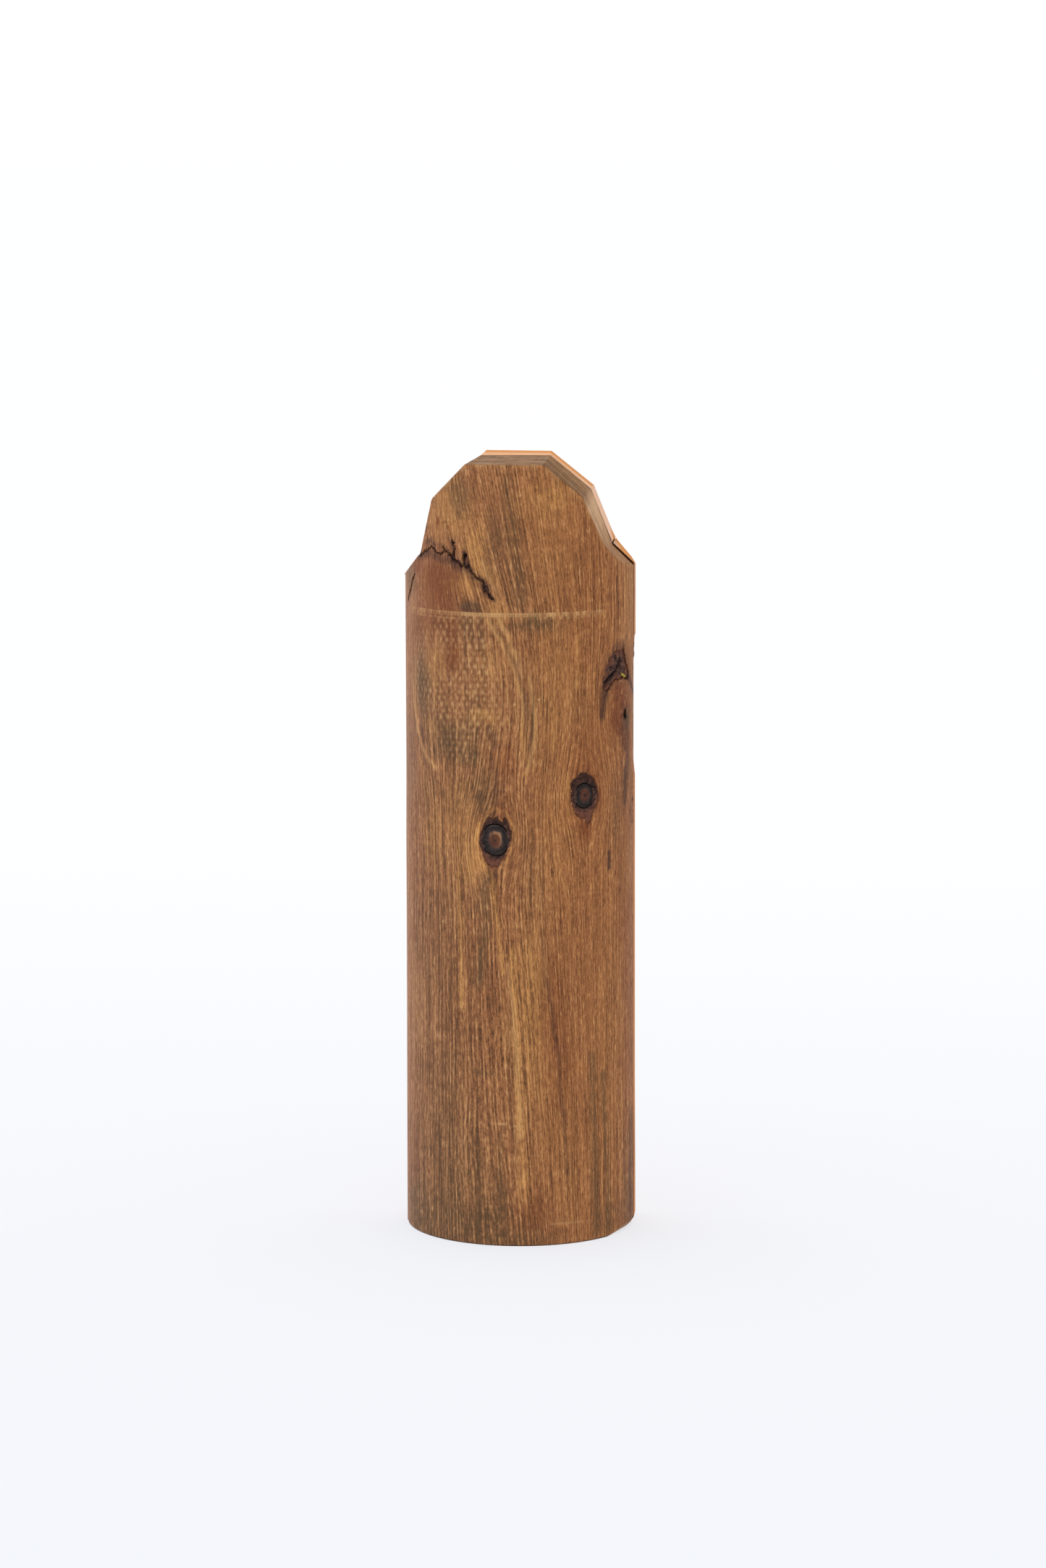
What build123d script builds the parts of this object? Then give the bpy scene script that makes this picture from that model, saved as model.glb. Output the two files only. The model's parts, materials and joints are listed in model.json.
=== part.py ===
from build123d import *
import os
from math import cos, hypot, radians, sin

# Standing wooden figure: a stained half-round front glued to a paler flat-backed layer.
# It stands on the XY plane with +Z up. The origin is the centre of the round, on the base.
# The curved front faces -Y and the flat back faces +Y. All lengths are millimetres.

# Block
BODY_RADIUS = 35.5
BODY_HEIGHT = 240.7
JOINT_Y = -3.5
BACK_Y = 12.5
CLEARANCE = 5.0

# Head and shoulders outline seen from the front, as (across, up)
SHOULDER_LEFT = (-BODY_RADIUS, 203.9)
NECK_LEFT = (-28.6, 212.3)
TEMPLE_LEFT = (-24.6, 229.0)
CROWN_LEFT = (-12.4, BODY_HEIGHT)
CROWN_RIGHT = (10.1, BODY_HEIGHT)
TEMPLE_RIGHT = (22.2, 230.2)
NECK_RIGHT = (28.6, 214.0)
SHOULDER_RIGHT = (BODY_RADIUS, 206.7)
NECK_SOFTENING = 4.0
FRONT_RIM_EASE = 0.4
BACK_RIM_EASE = 1.0

# Glue film between the layers
GLUE_THICKNESS = 0.3
GLUE_INSET = 0.8
SHOULDER_GAP_DEPTH = 2.4
SHOULDER_GAP_WIDTH = 0.5

# Ring line scribed below the shoulders
RING_HEIGHT = 194.2
RING_WIDTH = 0.9
RING_DEPTH = 0.25

# Flat dressed off the foot on the right
FOOT_FLAT_ANGLE = 72.0
FOOT_FLAT_INSET = 1.8
FOOT_FLAT_HEIGHT = 1.6
FOOT_FLAT_LENGTH = 50.0

# Dead knots: angle round the front from -Y, height, and ellipse sizes as (wide, tall)
KNOT_DEPTH = 15.0
KNOT_TAPER = 0.55
KNOT_SINK = 0.15
LOWER_KNOT_ANGLE = -7.0
LOWER_KNOT_HEIGHT = 125.7
LOWER_KNOT_CORE = (8.0, 9.4)
LOWER_KNOT_BARK = (9.8, 15.4)
UPPER_KNOT_ANGLE = 39.3
UPPER_KNOT_HEIGHT = 138.9
UPPER_KNOT_CORE = (9.0, 8.8)
UPPER_KNOT_BARK = (10.4, 14.6)

# Pocket of ingrown bark on the right, as a crown shape on the tangent plane
POCKET_ANGLE = 61.5
POCKET_HEIGHT = 176.6
POCKET_DEPTH = 4.0
POCKET_SINK = 0.3
POCKET_SHAPE = [
    (-5.4, -5.4), (-5.2, -1.0), (-2.9, 2.9), (0.4, 6.2), (3.0, 2.6),
    (5.4, 3.4), (7.4, -1.6), (4.6, -3.2), (0.6, -1.4), (-1.9, -3.8),
]

# Jagged bark seam from the left neck down to the chest, as (across, up, half height)
SEAM_DEPTH = 2.4
SEAM_SINK = 0.4
SEAM_LINE = [
    (-30.5, 211.6, 0.5), (-24.0, 214.2, 0.7), (-21.7, 212.4, 0.6), (-19.8, 213.4, 0.8),
    (-17.3, 211.8, 0.9), (-14.1, 209.6, 1.1), (-11.3, 207.5, 1.0), (-9.1, 205.6, 1.3),
    (-6.8, 203.0, 2.0), (-4.6, 199.8, 0.7),
]

# Hollow natural edge on the right side of the back layer, and the bark left in it
HOLLOW_BOTTOM = 141.2
HOLLOW_TOP = 185.6
HOLLOW_FLOOR_X = 33.0
HOLLOW_RAMP = 2.4
EDGE_BARK_SHAPE = [
    (HOLLOW_FLOOR_X, 183.0), (34.5, 182.4), (35.1, 180.8), (34.6, 179.3),
    (35.2, 178.0), (34.3, 176.7), (HOLLOW_FLOOR_X, 176.4),
]
EDGE_BARK_BACK_Y = 8.0

# Saw kerf left in the back layer where the right shoulder was cut
KERF_WIDTH = 0.7
KERF_DEPTH = 3.0
KERF_LEAN = 17.0

FIGURE_OUTLINE = [
    (-BODY_RADIUS, 0), SHOULDER_LEFT, NECK_LEFT, TEMPLE_LEFT, CROWN_LEFT,
    CROWN_RIGHT, TEMPLE_RIGHT, NECK_RIGHT, SHOULDER_RIGHT, (BODY_RADIUS, 0),
]
HOLLOW_OUTLINE = [
    (BODY_RADIUS + CLEARANCE, HOLLOW_BOTTOM), (BODY_RADIUS, HOLLOW_BOTTOM),
    (HOLLOW_FLOOR_X, HOLLOW_BOTTOM + HOLLOW_RAMP), (HOLLOW_FLOOR_X, HOLLOW_TOP - HOLLOW_RAMP),
    (BODY_RADIUS, HOLLOW_TOP), (BODY_RADIUS + CLEARANCE, HOLLOW_TOP),
]
FRONT_JOINT_Y = JOINT_Y - GLUE_THICKNESS / 2
REAR_JOINT_Y = JOINT_Y + GLUE_THICKNESS / 2


def radial_plane(angle, height, radius):
    """Plane facing outwards at an angle round the front, touching the round at a radius."""
    turn = radians(angle)
    outward = (sin(turn), -cos(turn), 0)
    tangent = (cos(turn), sin(turn), 0)
    origin = (radius * sin(turn), -radius * cos(turn), height)
    return Plane(origin=origin, x_dir=tangent, z_dir=outward)


def figure_blank(near_y, far_y, neck_softening=0):
    """Slab with the head and shoulders outline, between two Y planes."""
    with BuildPart() as blank:
        with BuildSketch(Plane.XZ.offset(-far_y)) as outline:
            with BuildLine():
                Polyline(*FIGURE_OUTLINE, close=True)
            make_face()
            if neck_softening:
                neck = outline.vertices().sort_by_distance(NECK_RIGHT)[0]
                fillet(neck, radius=neck_softening)
        extrude(amount=far_y - near_y)
    return blank.part


def round_column(radius):
    """Full round, taller than the figure, used to trim pieces to the curved front."""
    with BuildPart() as column:
        with BuildSketch(Plane.XY.offset(-CLEARANCE)):
            Circle(radius)
        extrude(amount=BODY_HEIGHT + 2 * CLEARANCE)
    return column.part


def foot_flat_cutter():
    """Wedge that takes the flat off the foot."""
    turn = radians(FOOT_FLAT_ANGLE)
    outward = (sin(turn), -cos(turn), 0)
    along = (cos(turn), sin(turn), 0)
    section = Plane(origin=(0, 0, 0), x_dir=outward, z_dir=along)
    slope = FOOT_FLAT_INSET / FOOT_FLAT_HEIGHT
    low = BODY_RADIUS - FOOT_FLAT_INSET - CLEARANCE * slope
    high = BODY_RADIUS + CLEARANCE * slope
    with BuildPart() as cutter:
        with BuildSketch(section):
            with BuildLine():
                Polyline(
                    (low, -CLEARANCE),
                    (high, FOOT_FLAT_HEIGHT + CLEARANCE),
                    (high + CLEARANCE, FOOT_FLAT_HEIGHT + CLEARANCE),
                    (high + CLEARANCE, -CLEARANCE),
                    close=True,
                )
            make_face()
        extrude(amount=FOOT_FLAT_LENGTH / 2, both=True)
    return cutter.part


def shoulder_gap_cutter():
    """Thin wedge that opens the joint between the layers along the right shoulder."""
    neck_x, neck_z = NECK_RIGHT
    across = SHOULDER_RIGHT[0] - neck_x
    down = neck_z - SHOULDER_RIGHT[1]
    length = hypot(across, down)
    middle = (neck_x + across / 2, FRONT_JOINT_Y, neck_z - down / 2)
    outward = (down / length, 0, across / length)
    along = (across / length, 0, -down / length)
    section = Plane(origin=middle, x_dir=outward, z_dir=along)
    with BuildPart() as cutter:
        with BuildSketch(section):
            with BuildLine():
                Polyline(
                    (-SHOULDER_GAP_DEPTH, 0),
                    (0, SHOULDER_GAP_WIDTH),
                    (CLEARANCE, SHOULDER_GAP_WIDTH),
                    (CLEARANCE, -SHOULDER_GAP_WIDTH),
                    (-SHOULDER_GAP_DEPTH, -SHOULDER_GAP_WIDTH),
                    close=True,
                )
            make_face()
        extrude(amount=length / 2, both=True)
    return cutter.part


def branch_cone(angle, height, size):
    """Tapering oval stub of a branch, from inside the wood to just past the surface."""
    wide, tall = size
    flare = 1 + (1 - KNOT_TAPER) * CLEARANCE / KNOT_DEPTH
    with BuildPart() as stub:
        with BuildSketch(radial_plane(angle, height, BODY_RADIUS - KNOT_DEPTH)):
            Ellipse(KNOT_TAPER * wide / 2, KNOT_TAPER * tall / 2)
        with BuildSketch(radial_plane(angle, height, BODY_RADIUS + CLEARANCE)):
            Ellipse(flare * wide / 2, flare * tall / 2)
        loft()
    return stub.part


def pocket_plug():
    """Crown-shaped plug that runs from the pocket floor to just past the surface."""
    with BuildPart() as plug:
        with BuildSketch(radial_plane(POCKET_ANGLE, POCKET_HEIGHT, BODY_RADIUS - POCKET_DEPTH)):
            with BuildLine():
                Polyline(*POCKET_SHAPE, close=True)
            make_face()
        extrude(amount=POCKET_DEPTH + CLEARANCE)
    return plug.part


def seam_band():
    """Jagged band that follows the bark seam and stops at the seam's depth."""
    upper = [(x, z + half) for x, z, half in SEAM_LINE]
    lower = [(x, z - half) for x, z, half in reversed(SEAM_LINE)]
    with BuildPart() as band:
        with BuildSketch(Plane.XZ):
            with BuildLine():
                Polyline(*upper, *lower, close=True)
            make_face()
        extrude(amount=BODY_RADIUS + CLEARANCE)
        add(round_column(BODY_RADIUS - SEAM_DEPTH), mode=Mode.SUBTRACT)
    return band.part


def hollow_cutter():
    """Cutter for the hollow natural edge on the right side."""
    with BuildPart() as cutter:
        with BuildSketch(Plane.XZ.offset(-BACK_Y - CLEARANCE)):
            with BuildLine():
                Polyline(*HOLLOW_OUTLINE, close=True)
            make_face()
        extrude(amount=BACK_Y + CLEARANCE - REAR_JOINT_Y + GLUE_THICKNESS)
    return cutter.part


def kerf_cutter():
    """Thin slot that runs down from the right neck, through the back layer."""
    neck_x, neck_z = NECK_RIGHT
    with BuildPart() as cutter:
        with BuildSketch(Plane.XZ.offset(-BACK_Y - CLEARANCE)):
            with Locations(Location((neck_x, neck_z), -KERF_LEAN)):
                Rectangle(KERF_WIDTH, 2 * KERF_DEPTH)
        extrude(amount=BACK_Y + 2 * CLEARANCE - REAR_JOINT_Y)
    return cutter.part


def ring_cutter():
    """Shallow groove for the scribed ring line."""
    with BuildPart() as cutter:
        with BuildSketch(Plane.XY.offset(RING_HEIGHT)):
            Circle(BODY_RADIUS + CLEARANCE)
            Circle(BODY_RADIUS - RING_DEPTH, mode=Mode.SUBTRACT)
        extrude(amount=RING_WIDTH)
    return cutter.part


lower_core_stub = branch_cone(LOWER_KNOT_ANGLE, LOWER_KNOT_HEIGHT, LOWER_KNOT_CORE)
lower_bark_stub = branch_cone(LOWER_KNOT_ANGLE, LOWER_KNOT_HEIGHT, LOWER_KNOT_BARK)
upper_core_stub = branch_cone(UPPER_KNOT_ANGLE, UPPER_KNOT_HEIGHT, UPPER_KNOT_CORE)
upper_bark_stub = branch_cone(UPPER_KNOT_ANGLE, UPPER_KNOT_HEIGHT, UPPER_KNOT_BARK)

with BuildPart() as front_half:
    add(figure_blank(-BODY_RADIUS - CLEARANCE, FRONT_JOINT_Y, NECK_SOFTENING))
    add(round_column(BODY_RADIUS), mode=Mode.INTERSECT)
    rim = front_half.edges().filter_by(GeomType.ELLIPSE)
    fillet(rim, radius=FRONT_RIM_EASE)
    add(shoulder_gap_cutter(), mode=Mode.SUBTRACT)
    add(foot_flat_cutter(), mode=Mode.SUBTRACT)
    add(ring_cutter(), mode=Mode.SUBTRACT)
    add(lower_bark_stub, mode=Mode.SUBTRACT)
    add(upper_bark_stub, mode=Mode.SUBTRACT)
    add(pocket_plug(), mode=Mode.SUBTRACT)
    add(seam_band(), mode=Mode.SUBTRACT)

with BuildPart() as back_half:
    add(figure_blank(REAR_JOINT_Y, BACK_Y))
    add(round_column(BODY_RADIUS), mode=Mode.INTERSECT)
    back_face = back_half.faces().filter_by(Plane.XZ).sort_by(Axis.Y)[-1]
    back_rim = back_face.edges().filter_by_position(Axis.Z, 1, BODY_HEIGHT + 1)
    fillet(back_rim, radius=BACK_RIM_EASE)
    add(foot_flat_cutter(), mode=Mode.SUBTRACT)
    add(hollow_cutter(), mode=Mode.SUBTRACT)
    add(kerf_cutter(), mode=Mode.SUBTRACT)

with BuildPart() as glue_film:
    with BuildSketch(Plane.XZ.offset(-REAR_JOINT_Y)) as film_outline:
        with BuildLine():
            Polyline(*FIGURE_OUTLINE, close=True)
        make_face()
        offset(amount=-GLUE_INSET, kind=Kind.INTERSECTION, mode=Mode.REPLACE)
        with BuildLine():
            Polyline(*HOLLOW_OUTLINE, close=True)
        make_face(mode=Mode.SUBTRACT)
    extrude(amount=GLUE_THICKNESS)
    add(kerf_cutter(), mode=Mode.SUBTRACT)

with BuildPart() as knot_lower_core:
    add(lower_core_stub)
    add(round_column(BODY_RADIUS - KNOT_SINK), mode=Mode.INTERSECT)

with BuildPart() as knot_lower_bark:
    add(lower_bark_stub)
    add(lower_core_stub, mode=Mode.SUBTRACT)
    add(round_column(BODY_RADIUS - 2 * KNOT_SINK), mode=Mode.INTERSECT)

with BuildPart() as knot_upper_core:
    add(upper_core_stub)
    add(round_column(BODY_RADIUS - KNOT_SINK), mode=Mode.INTERSECT)

with BuildPart() as knot_upper_bark:
    add(upper_bark_stub)
    add(upper_core_stub, mode=Mode.SUBTRACT)
    add(round_column(BODY_RADIUS - 2 * KNOT_SINK), mode=Mode.INTERSECT)

with BuildPart() as bark_pocket:
    add(pocket_plug())
    add(round_column(BODY_RADIUS - POCKET_SINK), mode=Mode.INTERSECT)

with BuildPart() as bark_seam:
    add(seam_band())
    add(round_column(BODY_RADIUS - SEAM_SINK), mode=Mode.INTERSECT)
    add(figure_blank(-BODY_RADIUS - CLEARANCE, FRONT_JOINT_Y, NECK_SOFTENING), mode=Mode.INTERSECT)

with BuildPart() as edge_bark:
    with BuildSketch(Plane.XZ.offset(-EDGE_BARK_BACK_Y)):
        with BuildLine():
            Polyline(*EDGE_BARK_SHAPE, close=True)
        make_face()
    extrude(amount=EDGE_BARK_BACK_Y - REAR_JOINT_Y)
    add(round_column(BODY_RADIUS - POCKET_SINK), mode=Mode.INTERSECT)

front_half.part.label = "front_half"
back_half.part.label = "back_half"
glue_film.part.label = "glue_film"
knot_lower_core.part.label = "knot_lower_core"
knot_lower_bark.part.label = "knot_lower_bark"
knot_upper_core.part.label = "knot_upper_core"
knot_upper_bark.part.label = "knot_upper_bark"
bark_pocket.part.label = "bark_pocket"
bark_seam.part.label = "bark_seam"
edge_bark.part.label = "edge_bark"

os.makedirs("parts", exist_ok=True)
export_step(front_half.part, "parts/front_half.step")
export_step(back_half.part, "parts/back_half.step")
export_step(glue_film.part, "parts/glue_film.step")
export_step(knot_lower_core.part, "parts/knot_lower_core.step")
export_step(knot_lower_bark.part, "parts/knot_lower_bark.step")
export_step(knot_upper_core.part, "parts/knot_upper_core.step")
export_step(knot_upper_bark.part, "parts/knot_upper_bark.step")
export_step(bark_pocket.part, "parts/bark_pocket.step")
export_step(bark_seam.part, "parts/bark_seam.step")
export_step(edge_bark.part, "parts/edge_bark.step")
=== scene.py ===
import json
import math

import bmesh
import bpy
import numpy as np
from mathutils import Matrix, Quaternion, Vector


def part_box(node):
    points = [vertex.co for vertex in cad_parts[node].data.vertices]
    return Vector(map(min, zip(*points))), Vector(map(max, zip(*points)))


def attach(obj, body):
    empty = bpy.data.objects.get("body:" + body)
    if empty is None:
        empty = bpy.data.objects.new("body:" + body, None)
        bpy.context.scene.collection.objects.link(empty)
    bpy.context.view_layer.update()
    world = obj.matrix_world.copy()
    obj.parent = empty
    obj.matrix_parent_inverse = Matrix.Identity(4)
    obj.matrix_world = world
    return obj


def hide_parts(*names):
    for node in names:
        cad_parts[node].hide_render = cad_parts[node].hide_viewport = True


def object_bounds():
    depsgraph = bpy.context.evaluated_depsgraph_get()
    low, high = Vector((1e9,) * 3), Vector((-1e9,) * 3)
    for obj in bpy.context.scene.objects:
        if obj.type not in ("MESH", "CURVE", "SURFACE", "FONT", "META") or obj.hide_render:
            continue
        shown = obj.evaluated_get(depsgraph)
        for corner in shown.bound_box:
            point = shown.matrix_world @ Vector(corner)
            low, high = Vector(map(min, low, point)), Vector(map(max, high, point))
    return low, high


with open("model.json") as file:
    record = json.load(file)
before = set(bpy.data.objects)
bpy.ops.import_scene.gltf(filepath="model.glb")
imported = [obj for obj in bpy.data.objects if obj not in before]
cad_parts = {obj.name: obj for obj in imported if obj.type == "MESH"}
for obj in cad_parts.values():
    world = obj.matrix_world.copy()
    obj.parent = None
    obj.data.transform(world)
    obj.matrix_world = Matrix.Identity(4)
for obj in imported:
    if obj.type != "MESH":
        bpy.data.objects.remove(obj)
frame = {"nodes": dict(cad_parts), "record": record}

CAD_LOW, CAD_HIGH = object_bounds()
MM = 0.001

# Block sizes in millimetres, read from the frame
RADIUS = (CAD_HIGH.x - CAD_LOW.x) / 2 / MM
HEIGHT = (CAD_HIGH.z - CAD_LOW.z) / MM
FRONT_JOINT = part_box("front_half")[1].y / MM
REAR_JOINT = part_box("back_half")[0].y / MM
BACK = CAD_HIGH.y / MM

# Head and shoulders outline as (across, up), at the curved front and at the joint
FRONT_OUTLINE = [
    (-35.4, 204.1), (-28.6, 212.3), (-24.6, 229.0), (-13.6, HEIGHT - 0.55), (10.4, HEIGHT - 0.55),
    (21.7, 229.9), (27.8, 215.0), (30.5, 211.0), (35.4, 206.8),
]
JOINT_OUTLINE = [
    (-35.4, 204.0), (-28.6, 212.3), (-24.6, 229.0), (-11.7, HEIGHT + 0.05), (10.0, HEIGHT + 0.05),
    (22.4, 230.5), (29.0, 213.4), (31.0, 211.5), (35.4, 207.2),
]
# The same for the back layer, at the joint and at its far face
BACK_NEAR_OUTLINE = [
    (-35.5, 203.9), (-28.7, 212.4), (-24.7, 229.1), (-11.6, HEIGHT + 0.1), (9.9, HEIGHT + 0.1),
    (22.4, 230.55), (28.8, 214.2), (35.5, 207.7),
]
BACK_FAR_OUTLINE = [
    (-35.5, 203.9), (-28.7, 212.4), (-24.8, 229.3), (-11.2, HEIGHT + 0.65), (9.0, HEIGHT + 0.45),
    (22.2, 230.55), (28.8, 214.2), (35.5, 205.9),
]

# Pieces made here, with the material slot each one wears
NEW_PIECES = []


# ---------------------------------------------------------------- small helpers
def smooth(low, high, value):
    """Soft step from 0 at low to 1 at high."""
    t = np.clip((value - low) / (high - low), 0.0, 1.0)
    return t * t * (3.0 - 2.0 * t)


def bump(distance, width):
    """Soft hill of height 1 that dies away over a width."""
    return np.exp(-((distance / width) ** 2))


def value_noise(x, y, seed):
    """Smooth repeatable noise between -1 and 1 on arrays of positions."""
    table = np.random.default_rng(seed).uniform(-1.0, 1.0, (64, 64))
    x0 = np.floor(x).astype(int)
    y0 = np.floor(y).astype(int)
    fx = x - x0
    fy = y - y0
    fx = fx * fx * (3.0 - 2.0 * fx)
    fy = fy * fy * (3.0 - 2.0 * fy)
    a = table[x0 % 64, y0 % 64]
    b = table[(x0 + 1) % 64, y0 % 64]
    c = table[x0 % 64, (y0 + 1) % 64]
    d = table[(x0 + 1) % 64, (y0 + 1) % 64]
    return (a * (1 - fx) + b * fx) * (1 - fy) + (c * (1 - fx) + d * fx) * fy


def side_swell(across, height):
    """How far the turned sides stand out from the true round, in millimetres."""
    left = 0.26 * (1.0 - smooth(0.0, 110.0, height)) - 0.17 * smooth(115.0, 150.0, height)
    right = 0.16 + 0.14 * (smooth(170.0, 188.0, height) + 1.0 - smooth(10.0, 60.0, height))
    return left * smooth(20.0, 33.0, -across) + right * smooth(25.0, 35.0, across)

def spaced(stops):
    """Positions from a list of (start, step) ending with (end, None)."""
    result = []
    for (start, step), (end, _) in zip(stops[:-1], stops[1:]):
        count = max(1, round((end - start) / step))
        result.extend(np.linspace(start, end, count, endpoint=False))
    return np.array(result + [stops[-1][0]])


def make_piece(name, node, points, faces, slot, attributes, sharp_degrees=38.0):
    """Mesh object from millimetre points, standing in for a CAD node, with named point attributes."""
    mesh = bpy.data.meshes.new(name)
    mesh.from_pydata((points * MM).tolist(), [], faces)
    for key, values in attributes.items():
        kind, field = ("FLOAT_VECTOR", "vector") if values.ndim == 2 else ("FLOAT", "value")
        layer = mesh.attributes.new(key, kind, "POINT")
        layer.data.foreach_set(field, values.astype(np.float32).ravel())
    mesh.validate()
    build = bmesh.new()
    build.from_mesh(mesh)
    bmesh.ops.remove_doubles(build, verts=build.verts, dist=1e-7)
    bmesh.ops.dissolve_degenerate(build, edges=build.edges, dist=1e-8)
    bmesh.ops.recalc_face_normals(build, faces=build.faces)
    build.to_mesh(mesh)
    build.free()
    mesh.shade_smooth()
    mesh.set_sharp_from_angle(angle=math.radians(sharp_degrees))
    obj = bpy.data.objects.new(name, mesh)
    bpy.context.scene.collection.objects.link(obj)
    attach(obj, "root")
    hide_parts(node)
    NEW_PIECES.append((obj, slot))


def grid_faces(columns, rows):
    """Quads of a grid of points stored column by column."""
    start = (np.arange(columns - 1)[:, None] * rows + np.arange(rows - 1)).ravel()
    return np.stack([start, start + rows, start + rows + 1, start + 1], axis=1).tolist()


def band_faces(rings, spokes, closed=False):
    """Quads between rings of points; the last ring joins the first one if closed."""
    faces = []
    for ring in range(rings if closed else rings - 1):
        start = ring * spokes
        after = (ring + 1) % rings * spokes
        for index in range(spokes):
            step = (index + 1) % spokes
            faces.append([start + index, after + index, after + step, start + step])
    return faces


def end_caps(rings, spokes):
    """Faces that close the first and the last ring of a sweep."""
    return [list(range(spokes)), list(range((rings - 1) * spokes, rings * spokes))]


def line_distance(s, z, points):
    """Distance from every (s, z) to a polyline, and how far along it the nearest point is (0 to 1)."""
    best = np.full(s.shape, 1e9)
    along = np.zeros(s.shape)
    count = len(points) - 1
    for index in range(count):
        s0, z0 = points[index]
        s1, z1 = points[index + 1]
        ds, dz = s1 - s0, z1 - z0
        t = np.clip(((s - s0) * ds + (z - z0) * dz) / (ds * ds + dz * dz), 0.0, 1.0)
        gap = np.hypot(s - s0 - t * ds, z - z0 - t * dz)
        along = np.where(gap < best, (index + t) / count, along)
        best = np.minimum(best, gap)
    return best, along


# ---------------------------------------------------------------- features of the front, in (arc, height)
RING_LOW = 194.1
RING_HIGH = 195.3
# Arc positions along the ring, with its strength and how far its dashes run together
RING_STRENGTH = [
    (-42, -38, -18, -14, -3, 0, 9, 12, 20, 28, 33),
    (0, 0.75, 0.6, 0.95, 0.8, 0.6, 0.7, 1.5, 1.2, 1, 0),
]
RING_FILL = [(-17, -13, -3, 1, 10, 14), (0.15, 0.6, 0.6, 0.3, 0.15, 0.1)]
LOWER_KNOT = dict(
    name="knot_lower", tan=1.0, s=-4.6, z=126.0, core=(4.0, 4.7), seed=11,
    bark=[
        (-4.7, 0.2), (-3.9, 2.9), (-2.9, 5.4), (-1.9, 6.9), (-0.4, 5.9), (0.6, 7.2), (1.5, 5.5), (2.3, 5.4),
        (3, 6.9), (4.3, 4.4), (4.8, 1.4), (4.4, -1.2), (3.2, -3.8), (2.3, -5.7), (0.5, -8.4), (-1, -8.3),
        (-2.7, -6.7), (-3.9, -3.6),
    ],
)
UPPER_KNOT = dict(
    name="knot_upper", tan=0.0, s=24.1, z=138.8, core=(3.2, 3.6), seed=12,
    bark=[
        (-4.2, -2.6), (-4.5, 1.6), (-4.4, 5.3), (-3, 5.4), (-1.7, 6.8), (-0.5, 7.2), (1.2, 6.2), (2.5, 5.4),
        (3.9, 3.6), (4.9, 1.2), (5.2, -1.4), (4.3, -3.6), (2.9, -5.4), (1.4, -8.8), (0.6, -8.6),
        (-0.2, -6.6), (-1.4, -6.8), (-2.6, -5.8), (-3.6, -4.2),
    ],
)
KNOTS = [LOWER_KNOT, UPPER_KNOT]
SEAM_PATH = [
    (-34.4, 211.4), (-32, 212.1), (-30, 212.9), (-28.4, 214.1), (-26.6, 214.3), (-25.4, 212.6),
    (-23.6, 212.4), (-21.8, 213.5), (-20.4, 213.3), (-18.9, 212), (-16.8, 210.6), (-15, 209.3),
    (-12.9, 208.8), (-12, 207.6), (-9.8, 205.8), (-8, 204.6), (-7.3, 202.6), (-6.1, 200.4), (-4.6, 199),
]
SEAM_HALF_WIDTH = [
    0.18, 0.16, 0.14, 0.16, 0.18, 0.16, 0.22, 0.2, 0.18, 0.26, 0.3, 0.24, 0.22, 0.22, 0.24, 0.4, 0.45, 0.28,
    0.08,
]
# Short side cracks of the seam: path, half width at the tip and at the root
SEAM_SPIKES = [
    ([(-18.5, 216.8), (-17.9, 214.2), (-17.9, 211.9)], 0.15, 0.22),
    ([(-14.4, 213.3), (-14.3, 209.4)], 0.22, 0.3), ([(-23.2, 215), (-22, 213.8)], 0.08, 0.2),
    ([(-12.9, 210.6), (-12.8, 208.9)], 0.1, 0.25),
]
LEFT_CRACK = [(-37.6, 205.2), (-39.4, 203), (-41.2, 200.2), (-44.2, 196.6)]
POCKET_CENTRE = (38.6, 177.2)
POCKET_OUTLINE = [
    (-6.9, -6.2), (-6.3, -2), (-5.4, 0.8), (-3.5, 3.2), (-1.5, 4.5), (1.4, 4.6), (3, 5.6), (3.9, 3.4),
    (5.2, 0.6), (7.4, -2.2), (7, -4.6), (3.2, -3.4), (-1, -3.4), (-3.4, -5.2), (-5.4, -7.2),
]
POCKET_CRACKS = [
    [(32, 171.4), (33.4, 173), (35.2, 174.3), (37.1, 175.1), (38.8, 176.2), (39.6, 177.4), (40.7, 179.2)],
    [(42.6, 172.8), (44.4, 172.4)],
]
RESIN_FLECK = [(41.3, 174.6), (43.8, 173.5)]
SIDE_HOLE = (43.5, 162.0)
EDGE_KNOT = (50.6, 131.0)
# Pits cut into the wood: feature, depth, and the distances from its edge where the wall ends and starts
PITS = [
    ("seam", 1.3, -0.20, 0.10), ("left", 1.1, 0.0, 0.3),
    ("pocket", 2.4, -0.35, 0.05), ("hole", 1.5, -0.2, 0.3),
]
KNOT_PIT = 2.6
FOOT_FLAT_ANGLE = 72.0
FOOT_FLAT_INSET = 1.8
FOOT_FLAT_HEIGHT = 1.6
FOOT_WORN_INSET = 2.0
FOOT_WORN_HEIGHT = 3.2


def foot_flat(height):
    """Distance from the axis to the flat dressed on the foot, square to the flat."""
    return RADIUS - FOOT_FLAT_INSET + FOOT_FLAT_INSET * height / FOOT_FLAT_HEIGHT


def worn_limit(height):
    """Largest distance to the right at a height, where the corner of the foot is worn round."""
    return RADIUS - FOOT_WORN_INSET * (1.0 - np.clip(height / FOOT_WORN_HEIGHT, 0.0, 1.0)) ** 2


def star_radius(corners, angle):
    """Distance from the middle of a star-shaped outline, listed clockwise, to its edge at each angle."""
    corners = np.array(corners)[::-1]
    angles = np.unwrap(np.arctan2(corners[:, 1], corners[:, 0]))
    radii = np.hypot(corners[:, 0], corners[:, 1])
    turns = np.concatenate([angles - 2 * np.pi, angles, angles + 2 * np.pi])
    return np.interp(angle, turns, np.tile(radii, 3))


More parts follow.
